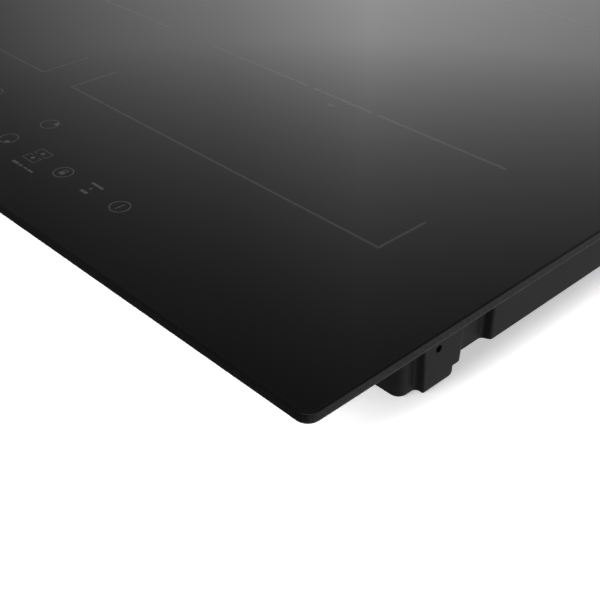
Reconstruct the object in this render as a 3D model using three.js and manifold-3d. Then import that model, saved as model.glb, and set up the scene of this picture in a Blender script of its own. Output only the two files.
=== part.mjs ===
// A built-in induction hob with four cooking zones, in millimetres. +Z is up and the front is -Y.
// The origin is on the plane of the feet, under the middle of the glass.
//
// The glass carries a metal frame, which the moulded bottom tray is screwed to. Inside the tray are
// two inverter modules, each with a fan that draws air in through the floor and blows it forward
// through a heat sink. Above them, two sprung carriers press two coils each up against the glass.

import * as THREE from "three";
import { mergeVertices } from "three/addons/utils/BufferGeometryUtils.js";
import Module from "manifold-3d";

const wasm = await Module();
wasm.setup();

// ---- Driving dimensions ----

const fit = 0.3; // gap left between touching pieces
const overallHeight = 48;

const glass = { width: 590, depth: 520, thickness: 4, corner: 6, arris: 0.5 };
const glassUnder = overallHeight - glass.thickness;

// The tray. Its corners and bays stand back from its fixing pads by the recess.
const tray = {
  halfWidth: 278,
  front: -188,
  rear: 245,
  floor: 5.7,
  top: glassUnder - fit,
  wall: 2,
  recess: 4.2,
  corner: 5,
};
const trayInside = tray.floor + tray.wall;

// Distances along a side of the tray, from its front or rear face. A pad widens by its flare at each side
// from its foot to its top.
const pad = { start: 10, end: 35.3, flare: 2.2, holeAt: 18, holeZ: 19.8, holeRadius: 1.75 };
const bay = { end: 51.9, ramp: 2 };
const foot = { length: 31.6, width: 90, corner: 5, edge: 1.8 };
const smallestRadius = 0.05;
const moulded = { arcSteps: 5, innerArcSteps: 3 }; // facets of the tray's rounded corners

// Shallow beads moulded into the underside of the floor, and a groove round each fan's air intake.
const bead = { depth: 0.9, width: 8, front: -140, rear: 84, reach: 200, count: 9 };
const intake = { slotWidth: 5, pitch: 9, reach: 30, groove: 35, grooveWidth: 3 };
const outlet = { slotWidth: 6, pitch: 10, count: 7, bottom: 8.6, top: 15.4 };

// The shallower housing in front of the tray, under the touch keys.
const housing = { halfWidth: 250, front: -240, floor: 20, corner: 3, fillet: 4 };

const seal = { edge: 4, width: 8, thickness: 1.7 };
const frame = {
  halfWidth: 270.5,
  front: -185.5,
  rear: 242.5,
  bottom: 33,
  flange: 12,
  sheet: 1.2,
  corner: 4,
};
const screw = { shank: 1.75, hole: 2.1, head: 3.5, headHeight: 2.2, length: 8, z: 38 };
const frameScrews = [
  { name: "front_left", x: -261, facing: -1 },
  { name: "front_right", x: 261, facing: -1 },
  { name: "rear_left", x: -200, facing: 1 },
  { name: "rear_right", x: 200, facing: 1 },
];

// Coils. Each side has a front and a rear zone.
const zone = { x: 127, frontY: -73, rearY: 114 };
const carrier = { inner: 30, outer: 224, front: -170, rear: 211, z: 31.6, sheet: 1.4, rim: 3, corner: 8 };
const coil = { radius: 91, bore: 9, rimWall: 1.6 };
const former = { bottom: carrier.z + carrier.sheet + fit, floor: 1.7, top: 41 };
const ferrite = {
  bottom: 35.3,
  thickness: 2.8,
  bars: 8,
  barWidth: 9,
  barEnd: 86,
  hubInner: 12,
  hubOuter: 18,
};
const winding = { inner: 22, outer: 88.5, bottom: 38.4, top: 41.4 };
const insulation = { inner: 10, outer: 90, bottom: 41.7, top: 43.4 };
const sensor = { radius: 4, flange: 7, bottom: 33.3, top: 43.6 };
const spring = { radius: 5, wire: 0.7, turns: 4, seat: 3.2, seatHeight: 6 };
const springInset = 10; // from the carrier's edges to a spring's axis
const airHole = { radius: 12, apart: 160 };

// Fans. Both are the same part, facing the same way.
const fan = { x: 145, y: 140, top: 26, wall: 1.6, throat: 34, growth: 9, ductEnd: 46, ductWidth: 38 };
const rotor = { radius: 30, bottom: 9.5, top: 19.4, plate: 1.5, hub: 9, bore: 1.9, vanes: 15, vaneDepth: 7 };
const vane = { thickness: 1.2, pitchAngle: Math.PI / 5, margin: 0.5 };
const motor = { radius: 9, shaft: 1.5, gap: 0.6 };
const scrollArc = { start: (200 * Math.PI) / 180, sweep: (340 * Math.PI) / 180, steps: 32 };

// Electronics
const boardZ = 11.7;
const boardThickness = 1.6;
const boardTop = boardZ + boardThickness;
const solder = 0.5; // depth that a board's parts are sunk into it
const boardPost = { edge: 6, radius: 3 };
const inverter = { inner: 64, outer: 204, front: -165, rear: 86 };
const heatSink = { inner: 104, outer: 186, front: -150, rear: 70, base: 3, fins: 11, fin: 1.6, top: 26 };
const capacitor = { inner: 68, outer: 96, front: -140, length: 34, pitch: 40, count: 3, top: 25 };
const driverParts = { gap: 4, margin: 2, length: 22, height: 7, fronts: [-120, -70, -20, 30] };
const filter = { halfWidth: 50, front: 0, rear: 185 };
const filmBlocks = [
  { left: -40, right: -14, front: 20, rear: 60, top: 25 },
  { left: 14, right: 40, front: 20, rear: 44, top: 24 },
];
const canisters = { x: 30, radius: 8, top: 25, ys: [70, 92] };
const choke = { x: -20, y: 120, radius: 17, tube: 6 };
const touch = { halfWidth: 190, front: -234, rear: -194, boardZ: 41.2, boardThickness: 1.6, holderZ: 30 };
const holder = { corner: 3, wall: 3, floor: 2, legRadius: 4, legXs: [-150, 150], legYs: [-224, -204] };
const ribbon = { x: -20, width: 16, thickness: 0.8, steps: 24 };

// Mains terminals, in a box set into the rear wall and closed by a hinged cover.
const terminal = { left: 90.5, right: 229.5, front: 213, rear: 242.5, bottom: 8, top: 32.5, wall: 1.6 };
const terminalFloor = terminal.bottom + terminal.wall;
const lid = { hingeY: 243.9, hingeZ: 10.4, halfThickness: 0.9, top: 32, pin: 1.1, pinHole: 1.5 };
const leadHole = { left: 196, right: 216, bottom: 14, top: 22 };
const cable = { x: 150, z: 20, radius: 5, notch: 6.5 };
const clamp = { halfWidth: 17, front: 222, rear: 231, bottom: 20.6, top: 26, screwOffset: 12 };
const clampY = (clamp.front + clamp.rear) / 2;
const clampScrews = [
  { name: "left", x: cable.x - clamp.screwOffset },
  { name: "right", x: cable.x + clamp.screwOffset },
];
const clampScrewSize = { shank: 1.3, hole: 1.6, head: 2.8, headHeight: 1.8, post: 3 };
const cradle = { halfWidth: 7, drop: 1.5 }; // the cradle's top is this far under the cable's axis
const block = { left: 172, right: 222, front: 220, rear: 236, top: 25, poles: 5 };
const pole = { halfWidth: 2.6, screwDepth: 6, wireDepth: 5, wireBottom: 3, wireTop: 8 };
const lead = { radius: 1.7, steps: 22 };

// ---- Materials ----

const blackGlass = { color: 0x050506, roughness: 0.06, metalness: 0 };
const blackPlastic = { color: 0x131314, roughness: 0.5, metalness: 0 };
const foam = { color: 0x2c2c2e, roughness: 0.95, metalness: 0 };
const steel = { color: 0xa8aaac, roughness: 0.35, metalness: 1 };
const aluminium = { color: 0xb9bbbd, roughness: 0.4, metalness: 1 };
const copper = { color: 0xa8562d, roughness: 0.45, metalness: 1 };
const ferriteGrey = { color: 0x33353a, roughness: 0.7, metalness: 0 };
const mica = { color: 0xc9bfa6, roughness: 0.6, metalness: 0 };
const boardGreen = { color: 0x1d5a36, roughness: 0.5, metalness: 0 };
const whitePlastic = { color: 0xd9d9d4, roughness: 0.5, metalness: 0 };
const greyPlastic = { color: 0x55585c, roughness: 0.55, metalness: 0 };
const capacitorBlue = { color: 0x2b4c8c, roughness: 0.4, metalness: 0 };
const wireInsulation = { color: 0x4a3a2e, roughness: 0.6, metalness: 0 };

// ---- Shape helpers ----

// A rectangle's corners, counter-clockwise from the front left, as [x, y, corner radius].
function rectangle(x0, x1, y0, y1, radius = 0) {
  return [
    [x0, y0, radius],
    [x1, y0, radius],
    [x1, y1, radius],
    [x0, y1, radius],
  ];
}

// Moves each edge of a counter-clockwise outline inwards.
function inset(outline, distance) {
  return outline.map(([x, y, radius], i) => {
    const before = outline.at(i - 1);
    const after = outline[(i + 1) % outline.length];
    const arriving = new THREE.Vector2(x - before[0], y - before[1]).normalize();
    const leaving = new THREE.Vector2(after[0] - x, after[1] - y).normalize();
    const shift = distance / (1 + arriving.dot(leaving));
    const outerCorner = arriving.cross(leaving) > 0;
    return [
      x - (arriving.y + leaving.y) * shift,
      y + (arriving.x + leaving.x) * shift,
      outerCorner ? Math.max(0, radius - distance) : radius,
    ];
  });
}

// A closed shape through the outline's corners, each one rounded by an arc of its radius.
function rounded(outline) {
  const shape = new THREE.Shape();
  outline.forEach(([x, y, radius], i) => {
    const corner = new THREE.Vector2(x, y);
    if (radius === 0) {
      if (i === 0) shape.moveTo(x, y);
      else shape.lineTo(x, y);
      return;
    }
    const before = new THREE.Vector2(...outline.at(i - 1)).sub(corner).normalize();
    const after = new THREE.Vector2(...outline[(i + 1) % outline.length]).sub(corner).normalize();
    const halfAngle = Math.acos(before.dot(after)) / 2;
    const reach = radius / Math.tan(halfAngle);
    const centre = before.clone().add(after).normalize();
    centre.multiplyScalar(radius / Math.sin(halfAngle)).add(corner);
    const start = before.clone().multiplyScalar(reach).add(corner).sub(centre);
    const end = after.clone().multiplyScalar(reach).add(corner).sub(centre);
    const clockwise = before.cross(after) > 0;
    shape.absarc(centre.x, centre.y, radius, start.angle(), end.angle(), clockwise);
  });
  return shape;
}

// An upright prism of an outline or a shape, from z0 to z1.
function prism(outline, z0, z1, arcSteps = 2) {
  const shape = outline instanceof THREE.Shape ? outline : rounded(outline);
  const options = { depth: z1 - z0, bevelEnabled: false, curveSegments: arcSteps };
  return new THREE.ExtrudeGeometry(shape, options).translate(0, 0, z0);
}

// A prism along X of an outline drawn in Y and Z.
function prismAlongX(outline, x0, x1, arcSteps = 2) {
  const geometry = prism(outline, x0, x1, arcSteps);
  return geometry.rotateX(Math.PI / 2).rotateZ(Math.PI / 2);
}

// A solid through outlines at rising heights, { outline, z }. All of them have the same corners.
function lofted(rings, arcSteps) {
  const loops = rings.map(({ outline }) => rounded(outline).extractPoints(arcSteps).shape);
  const count = loops[0].length;
  const positions = loops.flatMap((loop, i) => loop.flatMap(({ x, y }) => [x, y, rings[i].z]));
  const last = (rings.length - 1) * count;
  const bottom = THREE.ShapeUtils.triangulateShape(loops[0], []).flatMap(([a, b, c]) => [c, b, a]);
  const top = THREE.ShapeUtils.triangulateShape(loops.at(-1), []).flat().map((i) => i + last);
  const sides = loops.slice(1).flatMap((_, row) =>
    Array.from({ length: count }, (_, i) => {
      const [here, next] = [row * count + i, row * count + ((i + 1) % count)];
      return [here, next, next + count, here, next + count, here + count];
    }).flat(),
  );
  const geometry = new THREE.BufferGeometry();
  geometry.setAttribute("position", new THREE.Float32BufferAttribute(positions, 3));
  geometry.setIndex([...bottom, ...top, ...sides]);
  return geometry;
}

function box(x0, x1, y0, y1, z0, z1) {
  const geometry = new THREE.BoxGeometry(x1 - x0, y1 - y0, z1 - z0);
  return geometry.translate((x0 + x1) / 2, (y0 + y1) / 2, (z0 + z1) / 2);
}

// An upright cylinder.
function post(radius, x, y, z0, z1, sides = 12) {
  const geometry = new THREE.CylinderGeometry(radius, radius, z1 - z0, sides);
  return geometry.rotateX(Math.PI / 2).translate(x, y, (z0 + z1) / 2);
}

// A cylinder along X or along Y.
function pinAlongX(radius, x0, x1, y, z, sides = 12) {
  const geometry = new THREE.CylinderGeometry(radius, radius, x1 - x0, sides);
  return geometry.rotateZ(Math.PI / 2).translate((x0 + x1) / 2, y, z);
}

function pinAlongY(radius, x, y0, y1, z, sides = 12) {
  const geometry = new THREE.CylinderGeometry(radius, radius, y1 - y0, sides);
  return geometry.translate(x, (y0 + y1) / 2, z);
}

// A solid turned about an upright axis, from its [radius, z] profile, which is closed here.
function turned(profile, x, y, segments = 24) {
  const points = [...profile, profile[0]].map(([radius, z]) => new THREE.Vector2(radius, z));
  return new THREE.LatheGeometry(points, segments).rotateX(Math.PI / 2).translate(x, y, 0);
}

// A turned ring with a rectangular section.
function ring(inner, outer, z0, z1, x, y, segments) {
  const profile = [
    [inner, z0],
    [outer, z0],
    [outer, z1],
    [inner, z1],
  ];
  return turned(profile, x, y, segments);
}

function solidOf(geometry) {
  const bare = geometry.clone();
  bare.deleteAttribute("normal");
  bare.deleteAttribute("uv");
  const merged = mergeVertices(bare);
  const mesh = new wasm.Mesh({
    numProp: 3,
    vertProperties: merged.attributes.position.array,
    triVerts: new Uint32Array(merged.index.array),
  });
  return new wasm.Manifold(mesh);
}

function geometryOf(solid) {
  const mesh = solid.getMesh();
  const geometry = new THREE.BufferGeometry();
  geometry.setAttribute("position", new THREE.BufferAttribute(mesh.vertProperties, 3));
  geometry.setIndex(new THREE.BufferAttribute(mesh.triVerts, 1));
  const faceted = geometry.toNonIndexed();
  faceted.computeVertexNormals();
  return faceted;
}

function join(...geometries) {
  return geometryOf(geometries.map(solidOf).reduce((sum, piece) => sum.add(piece)));
}

function cut(geometry, ...tools) {
  return geometryOf(tools.map(solidOf).reduce((rest, tool) => rest.subtract(tool), solidOf(geometry)));
}

// ---- Glass, seal and frame ----

function glassTop() {
  const halfWidth = glass.width / 2;
  const halfDepth = glass.depth / 2;
  const outline = rectangle(-halfWidth, halfWidth, -halfDepth, halfDepth, glass.corner);
  const geometry = new THREE.ExtrudeGeometry(rounded(outline), {
    depth: glass.thickness - 2 * glass.arris,
    bevelThickness: glass.arris,
    bevelSize: glass.arris,
    bevelOffset: -glass.arris,
    bevelSegments: 1,
    curveSegments: 4,
  });
  return geometry.translate(0, 0, glassUnder + glass.arris);
}

function edgeSeal() {
  const x = glass.width / 2 - seal.edge;
  const y = glass.depth / 2 - seal.edge;
  const outline = rectangle(-x, x, -y, y, glass.corner);
  const top = glassUnder - fit;
  const bottom = top - seal.thickness;
  return cut(prism(outline, bottom, top), prism(inset(outline, seal.width), bottom - 1, top + 1));
}

// An angle-section ring: a flange bonded under the glass and a leg that takes the frame screws.
function glassFrame() {
  const outline = rectangle(-frame.halfWidth, frame.halfWidth, frame.front, frame.rear, frame.corner);
  const top = glassUnder - fit;
  const under = frame.bottom - 1;
  return cut(
    prism(outline, frame.bottom, top),
    prism(inset(outline, frame.sheet), under, top - frame.sheet),
    prism(inset(outline, frame.flange), under, top + 1),
    ...frameScrews.map(screwHole),
  );
}

// ---- Frame screws ----

// The face of the tray that a frame screw's head stands on.
function screwFace({ facing }) {
  return facing > 0 ? tray.rear : tray.front;
}

function screwHole(place) {
  const face = screwFace(place);
  return pinAlongY(screw.hole, place.x, face - screw.length, face + screw.length, screw.z);
}

function frameScrew(place) {
  const under = screwFace(place) + place.facing * fit;
  const headEnd = under + place.facing * screw.headHeight;
  const tip = under - place.facing * screw.length;
  return join(
    pinAlongY(screw.head, place.x, Math.min(under, headEnd), Math.max(under, headEnd), screw.z),
    pinAlongY(screw.shank, place.x, Math.min(tip, headEnd), Math.max(tip, headEnd), screw.z, 8),
  );
}

// ---- Bottom tray ----

// One end of a side, as [distance in from the outer side, distance from the end face, corner radius].
function sideSteps(flare) {
  return [
    [tray.recess, 0, tray.corner],
    [tray.recess, pad.start - flare, 2.2],
    [0, pad.start - flare, 1],
    [0, pad.end + flare, 4],
    [tray.recess, pad.end + flare, 0],
    [tray.recess, bay.end, 2.5],
    [0, bay.end + bay.ramp, 1.75],
  ];
}

// The outline is the same all the way up, apart from the fixing pads, which widen by the flare.
function trayOutline(flare) {
  const place = (endY, direction) =>
    sideSteps(flare).map(([inward, along, radius]) => [
      tray.halfWidth - inward,
      endY + direction * along,
      radius,
    ]);
  const right = [...place(tray.front, 1), ...place(tray.rear, -1).reverse()];
  const left = right.map(([x, y, radius]) => [-x, y, radius]).reverse();
  return [...right, ...left];
}

// The front right foot, which shares the tray's outline at its corner and pad.
function footOutline() {
  const outer = tray.halfWidth;
  const inner = outer - foot.width;
  return [
    [inner, tray.front, foot.corner],
    [outer - tray.recess, tray.front, tray.corner],
    [outer - tray.recess, tray.front + pad.start, 2.2],
    [outer, tray.front + pad.start, 1],
    [outer, tray.front + foot.length, foot.corner],
    [inner, tray.front + foot.length, foot.corner],
  ];
}

// A foot with a rounded edge all round its underside.
function footSolid() {
  const steps = 3;
  const rings = Array.from({ length: steps + 1 }, (_, i) => {
    const angle = (Math.PI / 2) * (i / steps);
    const outline = inset(footOutline(), foot.edge * (1 - Math.sin(angle)));
    const corners = outline.map(([x, y, radius]) => [x, y, Math.max(radius, smallestRadius)]);
    return { outline: corners, z: foot.edge * (1 - Math.cos(angle)) };
  });
  return lofted([...rings, { outline: footOutline(), z: trayInside }], moulded.arcSteps);
}

// The same solid in all four corners of the tray.
function inEachCorner(geometry) {
  const middle = (tray.front + tray.rear) / 2;
  const half = (turn) => geometry.clone().translate(0, -middle, 0).rotateZ(turn).translate(0, middle, 0);
  const mirrored = (copy) => geometryOf(solidOf(copy).mirror([1, 0, 0]));
  return [half(0), half(Math.PI), mirrored(half(0)), mirrored(half(Math.PI))];
}

// The control housing in profile: [y, z, corner radius]. It runs down the tray's front wall with a fillet.
function housingProfile() {
  return [
    [housing.front, housing.floor, housing.corner],
    [tray.front, housing.floor, housing.fillet],
    [tray.front, trayInside, 0],
    [tray.front + tray.wall, trayInside, 0],
    [tray.front + tray.wall, tray.top, 0],
    [housing.front, tray.top, 0],
  ];
}

function housingInside() {
  const half = housing.halfWidth - tray.wall;
  const front = housing.front + tray.wall;
  return box(-half, half, front, tray.front + 2 * tray.wall, housing.floor + tray.wall, tray.top + 1);
}

// Air outlets in the front wall, one group in line with each heat sink.
function outletSlots() {
  return [-1, 1].flatMap((side) =>
    Array.from({ length: outlet.count }, (_, i) => {
      const x = side * fan.x + (i - (outlet.count - 1) / 2) * outlet.pitch - outlet.slotWidth / 2;
      const [front, rear] = [tray.front - 1, tray.front + tray.wall + 1];
      return box(x, x + outlet.slotWidth, front, rear, outlet.bottom, outlet.top);
    }),
  );
}

// A round field of slots in the floor under each fan.
function intakeSlots() {
  return [-1, 1].flatMap((side) =>
    [-3, -2, -1, 0, 1, 2, 3].map((row) => {
      const middle = side * fan.x + row * intake.pitch;
      const x = [middle - intake.slotWidth / 2, middle + intake.slotWidth / 2];
      const half = Math.sqrt(intake.reach ** 2 - (row * intake.pitch) ** 2);
      return box(...x, fan.y - half, fan.y + half, 0, trayInside + 1);
    }),
  );
}

function floorBeads() {
  const half = bead.width / 2;
  const pitch = (2 * bead.reach) / (bead.count - 1);
  const beads = Array.from({ length: bead.count }, (_, i) => {
    const x = -bead.reach + i * pitch;
    const outline = rectangle(x - half, x + half, bead.front, bead.rear, half - 0.01);
    return prism(outline, tray.floor - 1, tray.floor + bead.depth, 4);
  });
  const grooves = [-fan.x, fan.x].map((x) => {
    const outer = intake.groove + intake.grooveWidth;
    return ring(intake.groove, outer, tray.floor - 1, tray.floor + bead.depth, x, fan.y, 40);
  });
  return [...beads, ...grooves];
}

function springPlaces(side) {
  const xs = [carrier.inner + springInset, carrier.outer - springInset];
  const ys = [carrier.front + springInset, carrier.rear - springInset];
  return ys.flatMap((y) => xs.map((x) => [side * x, y]));
}

function boardPostPlaces() {
  const edge = boardPost.edge;
  const filterPosts = [filter.front + edge, filter.rear - edge].flatMap((y) => [
    [-filter.halfWidth + edge, y],
    [filter.halfWidth - edge, y],
  ]);
  const inverterPosts = [-1, 1].flatMap((side) =>
    [inverter.front + edge, inverter.rear - edge].flatMap((y) => [
      [side * (inverter.inner + edge), y],
      [side * (inverter.outer - edge), y],
    ]),
  );
  return [...filterPosts, ...inverterPosts];
}

function bottomTray() {
  const outline = trayOutline(0);
  const outside = [
    { outline, z: tray.floor },
    { outline: trayOutline(pad.flare), z: tray.top },
  ];
  const sunk = trayInside - tray.wall / 2;
  const shell = join(
    lofted(outside, moulded.arcSteps),
    prismAlongX(housingProfile(), -housing.halfWidth, housing.halfWidth, moulded.arcSteps),
    ...inEachCorner(footSolid()),
  );
  const hollow = cut(
    shell,
    prism(inset(outline, tray.wall), trayInside, tray.top + 1, moulded.innerArcSteps),
    ...inEachCorner(prism(inset(footOutline(), tray.wall), tray.wall, trayInside + 1, moulded.innerArcSteps)),
    housingInside(),
  );
  const posts = [
    ...boardPostPlaces().map(([x, y]) => post(boardPost.radius, x, y, sunk, boardZ - fit, 8)),
    ...[-1, 1]
      .flatMap(springPlaces)
      .map(([x, y]) => post(spring.seat, x, y, sunk, trayInside + spring.seatHeight, 8)),
  ];
  const holeY = tray.front + pad.holeAt;
  const [inner, outer] = [tray.halfWidth - 2 * tray.wall, tray.halfWidth + 1];
  const hole = pinAlongX(pad.holeRadius, inner, outer, holeY, pad.holeZ, 16);
  const terminalWindow = box(
    terminal.left - fit,
    terminal.right + fit,
    tray.rear - 2 * tray.wall,
    tray.rear + 1,
    trayInside,
    terminal.top + fit,
  );
  return cut(
    join(hollow, ...posts),
    ...inEachCorner(hole),
    ...outletSlots(),
    ...intakeSlots(),
    ...floorBeads(),
    ...frameScrews.map(screwHole),
    terminalWindow,
  );
}

// ---- Coils and their sprung carriers ----

function coilCarrier(side) {
  const [x0, x1] = [side * carrier.inner, side * carrier.outer].sort((a, b) => a - b);
  const outline = rectangle(x0, x1, carrier.front, carrier.rear, carrier.corner);
  const top = carrier.z + carrier.sheet;
  const rimBottom = carrier.z - carrier.rim;
  const plate = cut(
    prism(outline, rimBottom, top, 2),
    prism(inset(outline, carrier.sheet), rimBottom - 1, carrier.z, 2),
  );
  const bores = [zone.frontY, zone.rearY].map((y) =>
    post(coil.bore, side * zone.x, y, carrier.z - 1, top + 1, 16),
  );
  const middleY = (zone.frontY + zone.rearY) / 2;
  const airHoles = [-0.5, 0.5].map((along) => {
    const x = side * zone.x + along * airHole.apart;
    return post(airHole.radius, x, middleY, carrier.z - 1, top + 1, 16);
  });
  return cut(plate, ...bores, ...airHoles);
}

// Coil spring on a helix, its ends just clear of the tray and the carrier.
class Helix extends THREE.Curve {
  constructor(x, y, z0, z1) {
    super();
    this.centre = new THREE.Vector3(x, y, z0);
    this.rise = z1 - z0;
  }

  getPoint(t) {
    const angle = 2 * Math.PI * spring.turns * t;
    const offset = new THREE.Vector3(Math.cos(angle), Math.sin(angle), 0).multiplyScalar(spring.radius);
    return offset.add(this.centre).setZ(this.centre.z + this.rise * t);
  }
}

function carrierSpring([x, y]) {
  const sides = 4;
  const section = new THREE.Shape(
    Array.from({ length: sides }, (_, i) => {
      const angle = (2 * Math.PI * i) / sides;
      return new THREE.Vector2(Math.cos(angle), Math.sin(angle)).multiplyScalar(spring.wire);
    }),
  );
  const low = trayInside + fit + spring.wire;
  const high = carrier.z - fit - spring.wire;
  const extrudePath = new Helix(x, y, low, high);
  return new THREE.ExtrudeGeometry(section, { steps: spring.turns * 7, extrudePath, bevelEnabled: false });
}

function coilFormer(x, y) {
  const floorTop = former.bottom + former.floor;
  const inside = coil.radius - coil.rimWall;
  const profile = [
    [coil.bore, former.bottom],
    [coil.radius, former.bottom],
    [coil.radius, former.top],
    [inside, former.top],
    [inside, floorTop],
    [coil.bore, floorTop],
  ];
  return turned(profile, x, y);
}

// The ferrite bars lie like spokes under the winding, joined here by a thin hub.
function ferriteStar(x, y) {
  const top = ferrite.bottom + ferrite.thickness;
  const hub = ring(ferrite.hubInner, ferrite.hubOuter, ferrite.bottom, top, 0, 0, 2 * ferrite.bars);
  const bars = Array.from({ length: ferrite.bars }, (_, i) => {
    const half = ferrite.barWidth / 2;
    const bar = box(ferrite.hubOuter - 2, ferrite.barEnd, -half, half, ferrite.bottom, top);
    return bar.rotateZ((2 * Math.PI * i) / ferrite.bars);
  });
  return join(hub, ...bars).translate(x, y, 0);
}

function temperatureSensor(x, y) {
  const profile = [
    [0, sensor.bottom],
    [sensor.flange, sensor.bottom],
    [sensor.flange, sensor.bottom + 2],
    [sensor.radius, sensor.bottom + 2],
    [sensor.radius, sensor.top],
    [0, sensor.top],
  ];
  const points = profile.map(([radius, z]) => new THREE.Vector2(radius, z));
  return new THREE.LatheGeometry(points, 12).rotateX(Math.PI / 2).translate(x, y, 0);
}

// ---- Fans ----

// Scroll outline seen from above, about the rotor's axis. It widens all the way round to the outlet duct.
function scroll(wall) {
  const shape = new THREE.Shape();
  for (let i = 0; i <= scrollArc.steps; i++) {
    const along = i / scrollArc.steps;
    const radius = fan.throat - wall + fan.growth * along;
    const angle = scrollArc.start + scrollArc.sweep * along;
    const point = [radius * Math.cos(angle), radius * Math.sin(angle)];
    if (i === 0) shape.moveTo(...point);
    else shape.lineTo(...point);
  }
  return shape;
}

function duct(wall, end) {
  const outer = -(fan.throat + fan.growth);
  return rectangle(outer + wall, outer + fan.ductWidth - wall, -end, 0.5);
}

function fanHousing(x) {
  const bottom = trayInside + fit;
  const roof = fan.top - fan.wall;
  const outside = join(prism(scroll(0), bottom, fan.top), prism(duct(0, fan.ductEnd), bottom, fan.top));
  const shell = cut(
    outside,
    prism(scroll(fan.wall), bottom - 1, roof),
    prism(duct(fan.wall, fan.ductEnd + 1), bottom - 1, roof),
  );
  const motorBottom = rotor.top + motor.gap;
  const stub = post(motor.radius, 0, 0, motorBottom, roof + 0.5, 16);
  const shaft = post(motor.shaft, 0, 0, rotor.bottom + 2, motorBottom + 1, 10);
  return join(shell, stub, shaft).translate(x, fan.y, 0);
}

function fanRotor(x) {
  const plateBottom = rotor.top - rotor.plate;
  const plate = post(rotor.radius, 0, 0, plateBottom, rotor.top, 36);
  const hub = post(rotor.hub, 0, 0, rotor.bottom, rotor.top, 20);
  const depth = rotor.vaneDepth / 2;
  const thick = vane.thickness / 2;
  const vanes = Array.from({ length: rotor.vanes }, (_, i) => {
    const blade = box(-depth, depth, -thick, thick, rotor.bottom, plateBottom + 0.5);
    blade.rotateZ(vane.pitchAngle).translate(rotor.radius - depth - vane.margin, 0, 0);
    return blade.rotateZ((2 * Math.PI * i) / rotor.vanes);
  });
  const bore = post(rotor.bore, 0, 0, rotor.bottom + 1, rotor.top + 1, 10);
  return cut(join(plate, hub, ...vanes), bore).translate(x, fan.y, 0);
}

// ---- Electronics ----

// The x limits of a piece given by its inner and outer distance from the middle.
function spanX(side, { inner, outer }) {
  return [side * inner, side * outer].sort((a, b) => a - b);
}

// The board with its soldered driver parts along its outer edge.
function inverterBoard(side) {
  const [x0, x1] = spanX(side, inverter);
  const strip = { inner: heatSink.outer + driverParts.gap, outer: inverter.outer - driverParts.margin };
  const [partX0, partX1] = spanX(side, strip);
  const partTop = boardTop + driverParts.height;
  const parts = driverParts.fronts.map((y) =>
    box(partX0, partX1, y, y + driverParts.length, boardTop - solder, partTop),
  );
  return join(box(x0, x1, inverter.front, inverter.rear, boardZ, boardTop), ...parts);
}

// An extruded comb of fins along Y.
function heatSinkOf(side) {
  const [x0, x1] = spanX(side, heatSink);
  const bottom = boardTop + fit;
  const baseTop = bottom + heatSink.base;
  const pitch = (x1 - x0 - heatSink.fin) / (heatSink.fins - 1);
  const comb = new THREE.Shape();
  comb.moveTo(x0, bottom);
  comb.lineTo(x1, bottom);
  for (let i = heatSink.fins - 1; i >= 0; i--) {
    const left = x0 + i * pitch;
    const right = left + heatSink.fin;
    if (i < heatSink.fins - 1) comb.lineTo(right, baseTop);
    comb.lineTo(right, heatSink.top);
    comb.lineTo(left, heatSink.top);
    if (i > 0) comb.lineTo(left, baseTop);
  }
  const options = { depth: heatSink.rear - heatSink.front, bevelEnabled: false };
  return new THREE.ExtrudeGeometry(comb, options).rotateX(Math.PI / 2).translate(0, heatSink.rear, 0);
}

// Film capacitors standing on one strip.
function capacitorBlock(side) {
  const [x0, x1] = spanX(side, capacitor);
  const bottom = boardTop + fit;
  const cans = Array.from({ length: capacitor.count }, (_, i) => {
    const y = capacitor.front + i * capacitor.pitch;
    return prism(rectangle(x0, x1, y, y + capacitor.length, 3), bottom, capacitor.top, 3);
  });
  const end = capacitor.front + (capacitor.count - 1) * capacitor.pitch + capacitor.length;
  return join(box(x0 + 4, x1 - 4, capacitor.front + 2, end - 2, bottom, bottom + 2), ...cans);
}

function filterBoard() {
  const sunk = boardTop - solder;
  return join(
    box(-filter.halfWidth, filter.halfWidth, filter.front, filter.rear, boardZ, boardTop),
    ...filmBlocks.map(({ left, right, front, rear, top }) => box(left, right, front, rear, sunk, top)),
    ...canisters.ys.map((y) => post(canisters.radius, canisters.x, y, sunk, canisters.top, 16)),
  );
}

function filterChoke() {
  const z = boardTop + fit + choke.tube;
  return new THREE.TorusGeometry(choke.radius, choke.tube, 8, 20).translate(choke.x, choke.y, z);
}

function touchBoard() {
  const top = touch.boardZ + touch.boardThickness;
  return box(-touch.halfWidth, touch.halfWidth, touch.front, touch.rear, touch.boardZ, top);
}

// A shallow holder on four legs, with a raised rim that the touch board rests on.
function touchHolder() {
  const top = touch.boardZ - fit;
  const outline = rectangle(-touch.halfWidth, touch.halfWidth, touch.front, touch.rear, holder.corner);
  const inside = prism(inset(outline, holder.wall), touch.holderZ + holder.floor, top + 1);
  const dish = cut(prism(outline, touch.holderZ, top), inside);
  const legBottom = housing.floor + tray.wall + fit;
  const legs = holder.legXs.flatMap((x) =>
    holder.legYs.map((y) => post(holder.legRadius, x, y, legBottom, touch.holderZ + 1, 10)),
  );
  return join(dish, ...legs);
}

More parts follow.
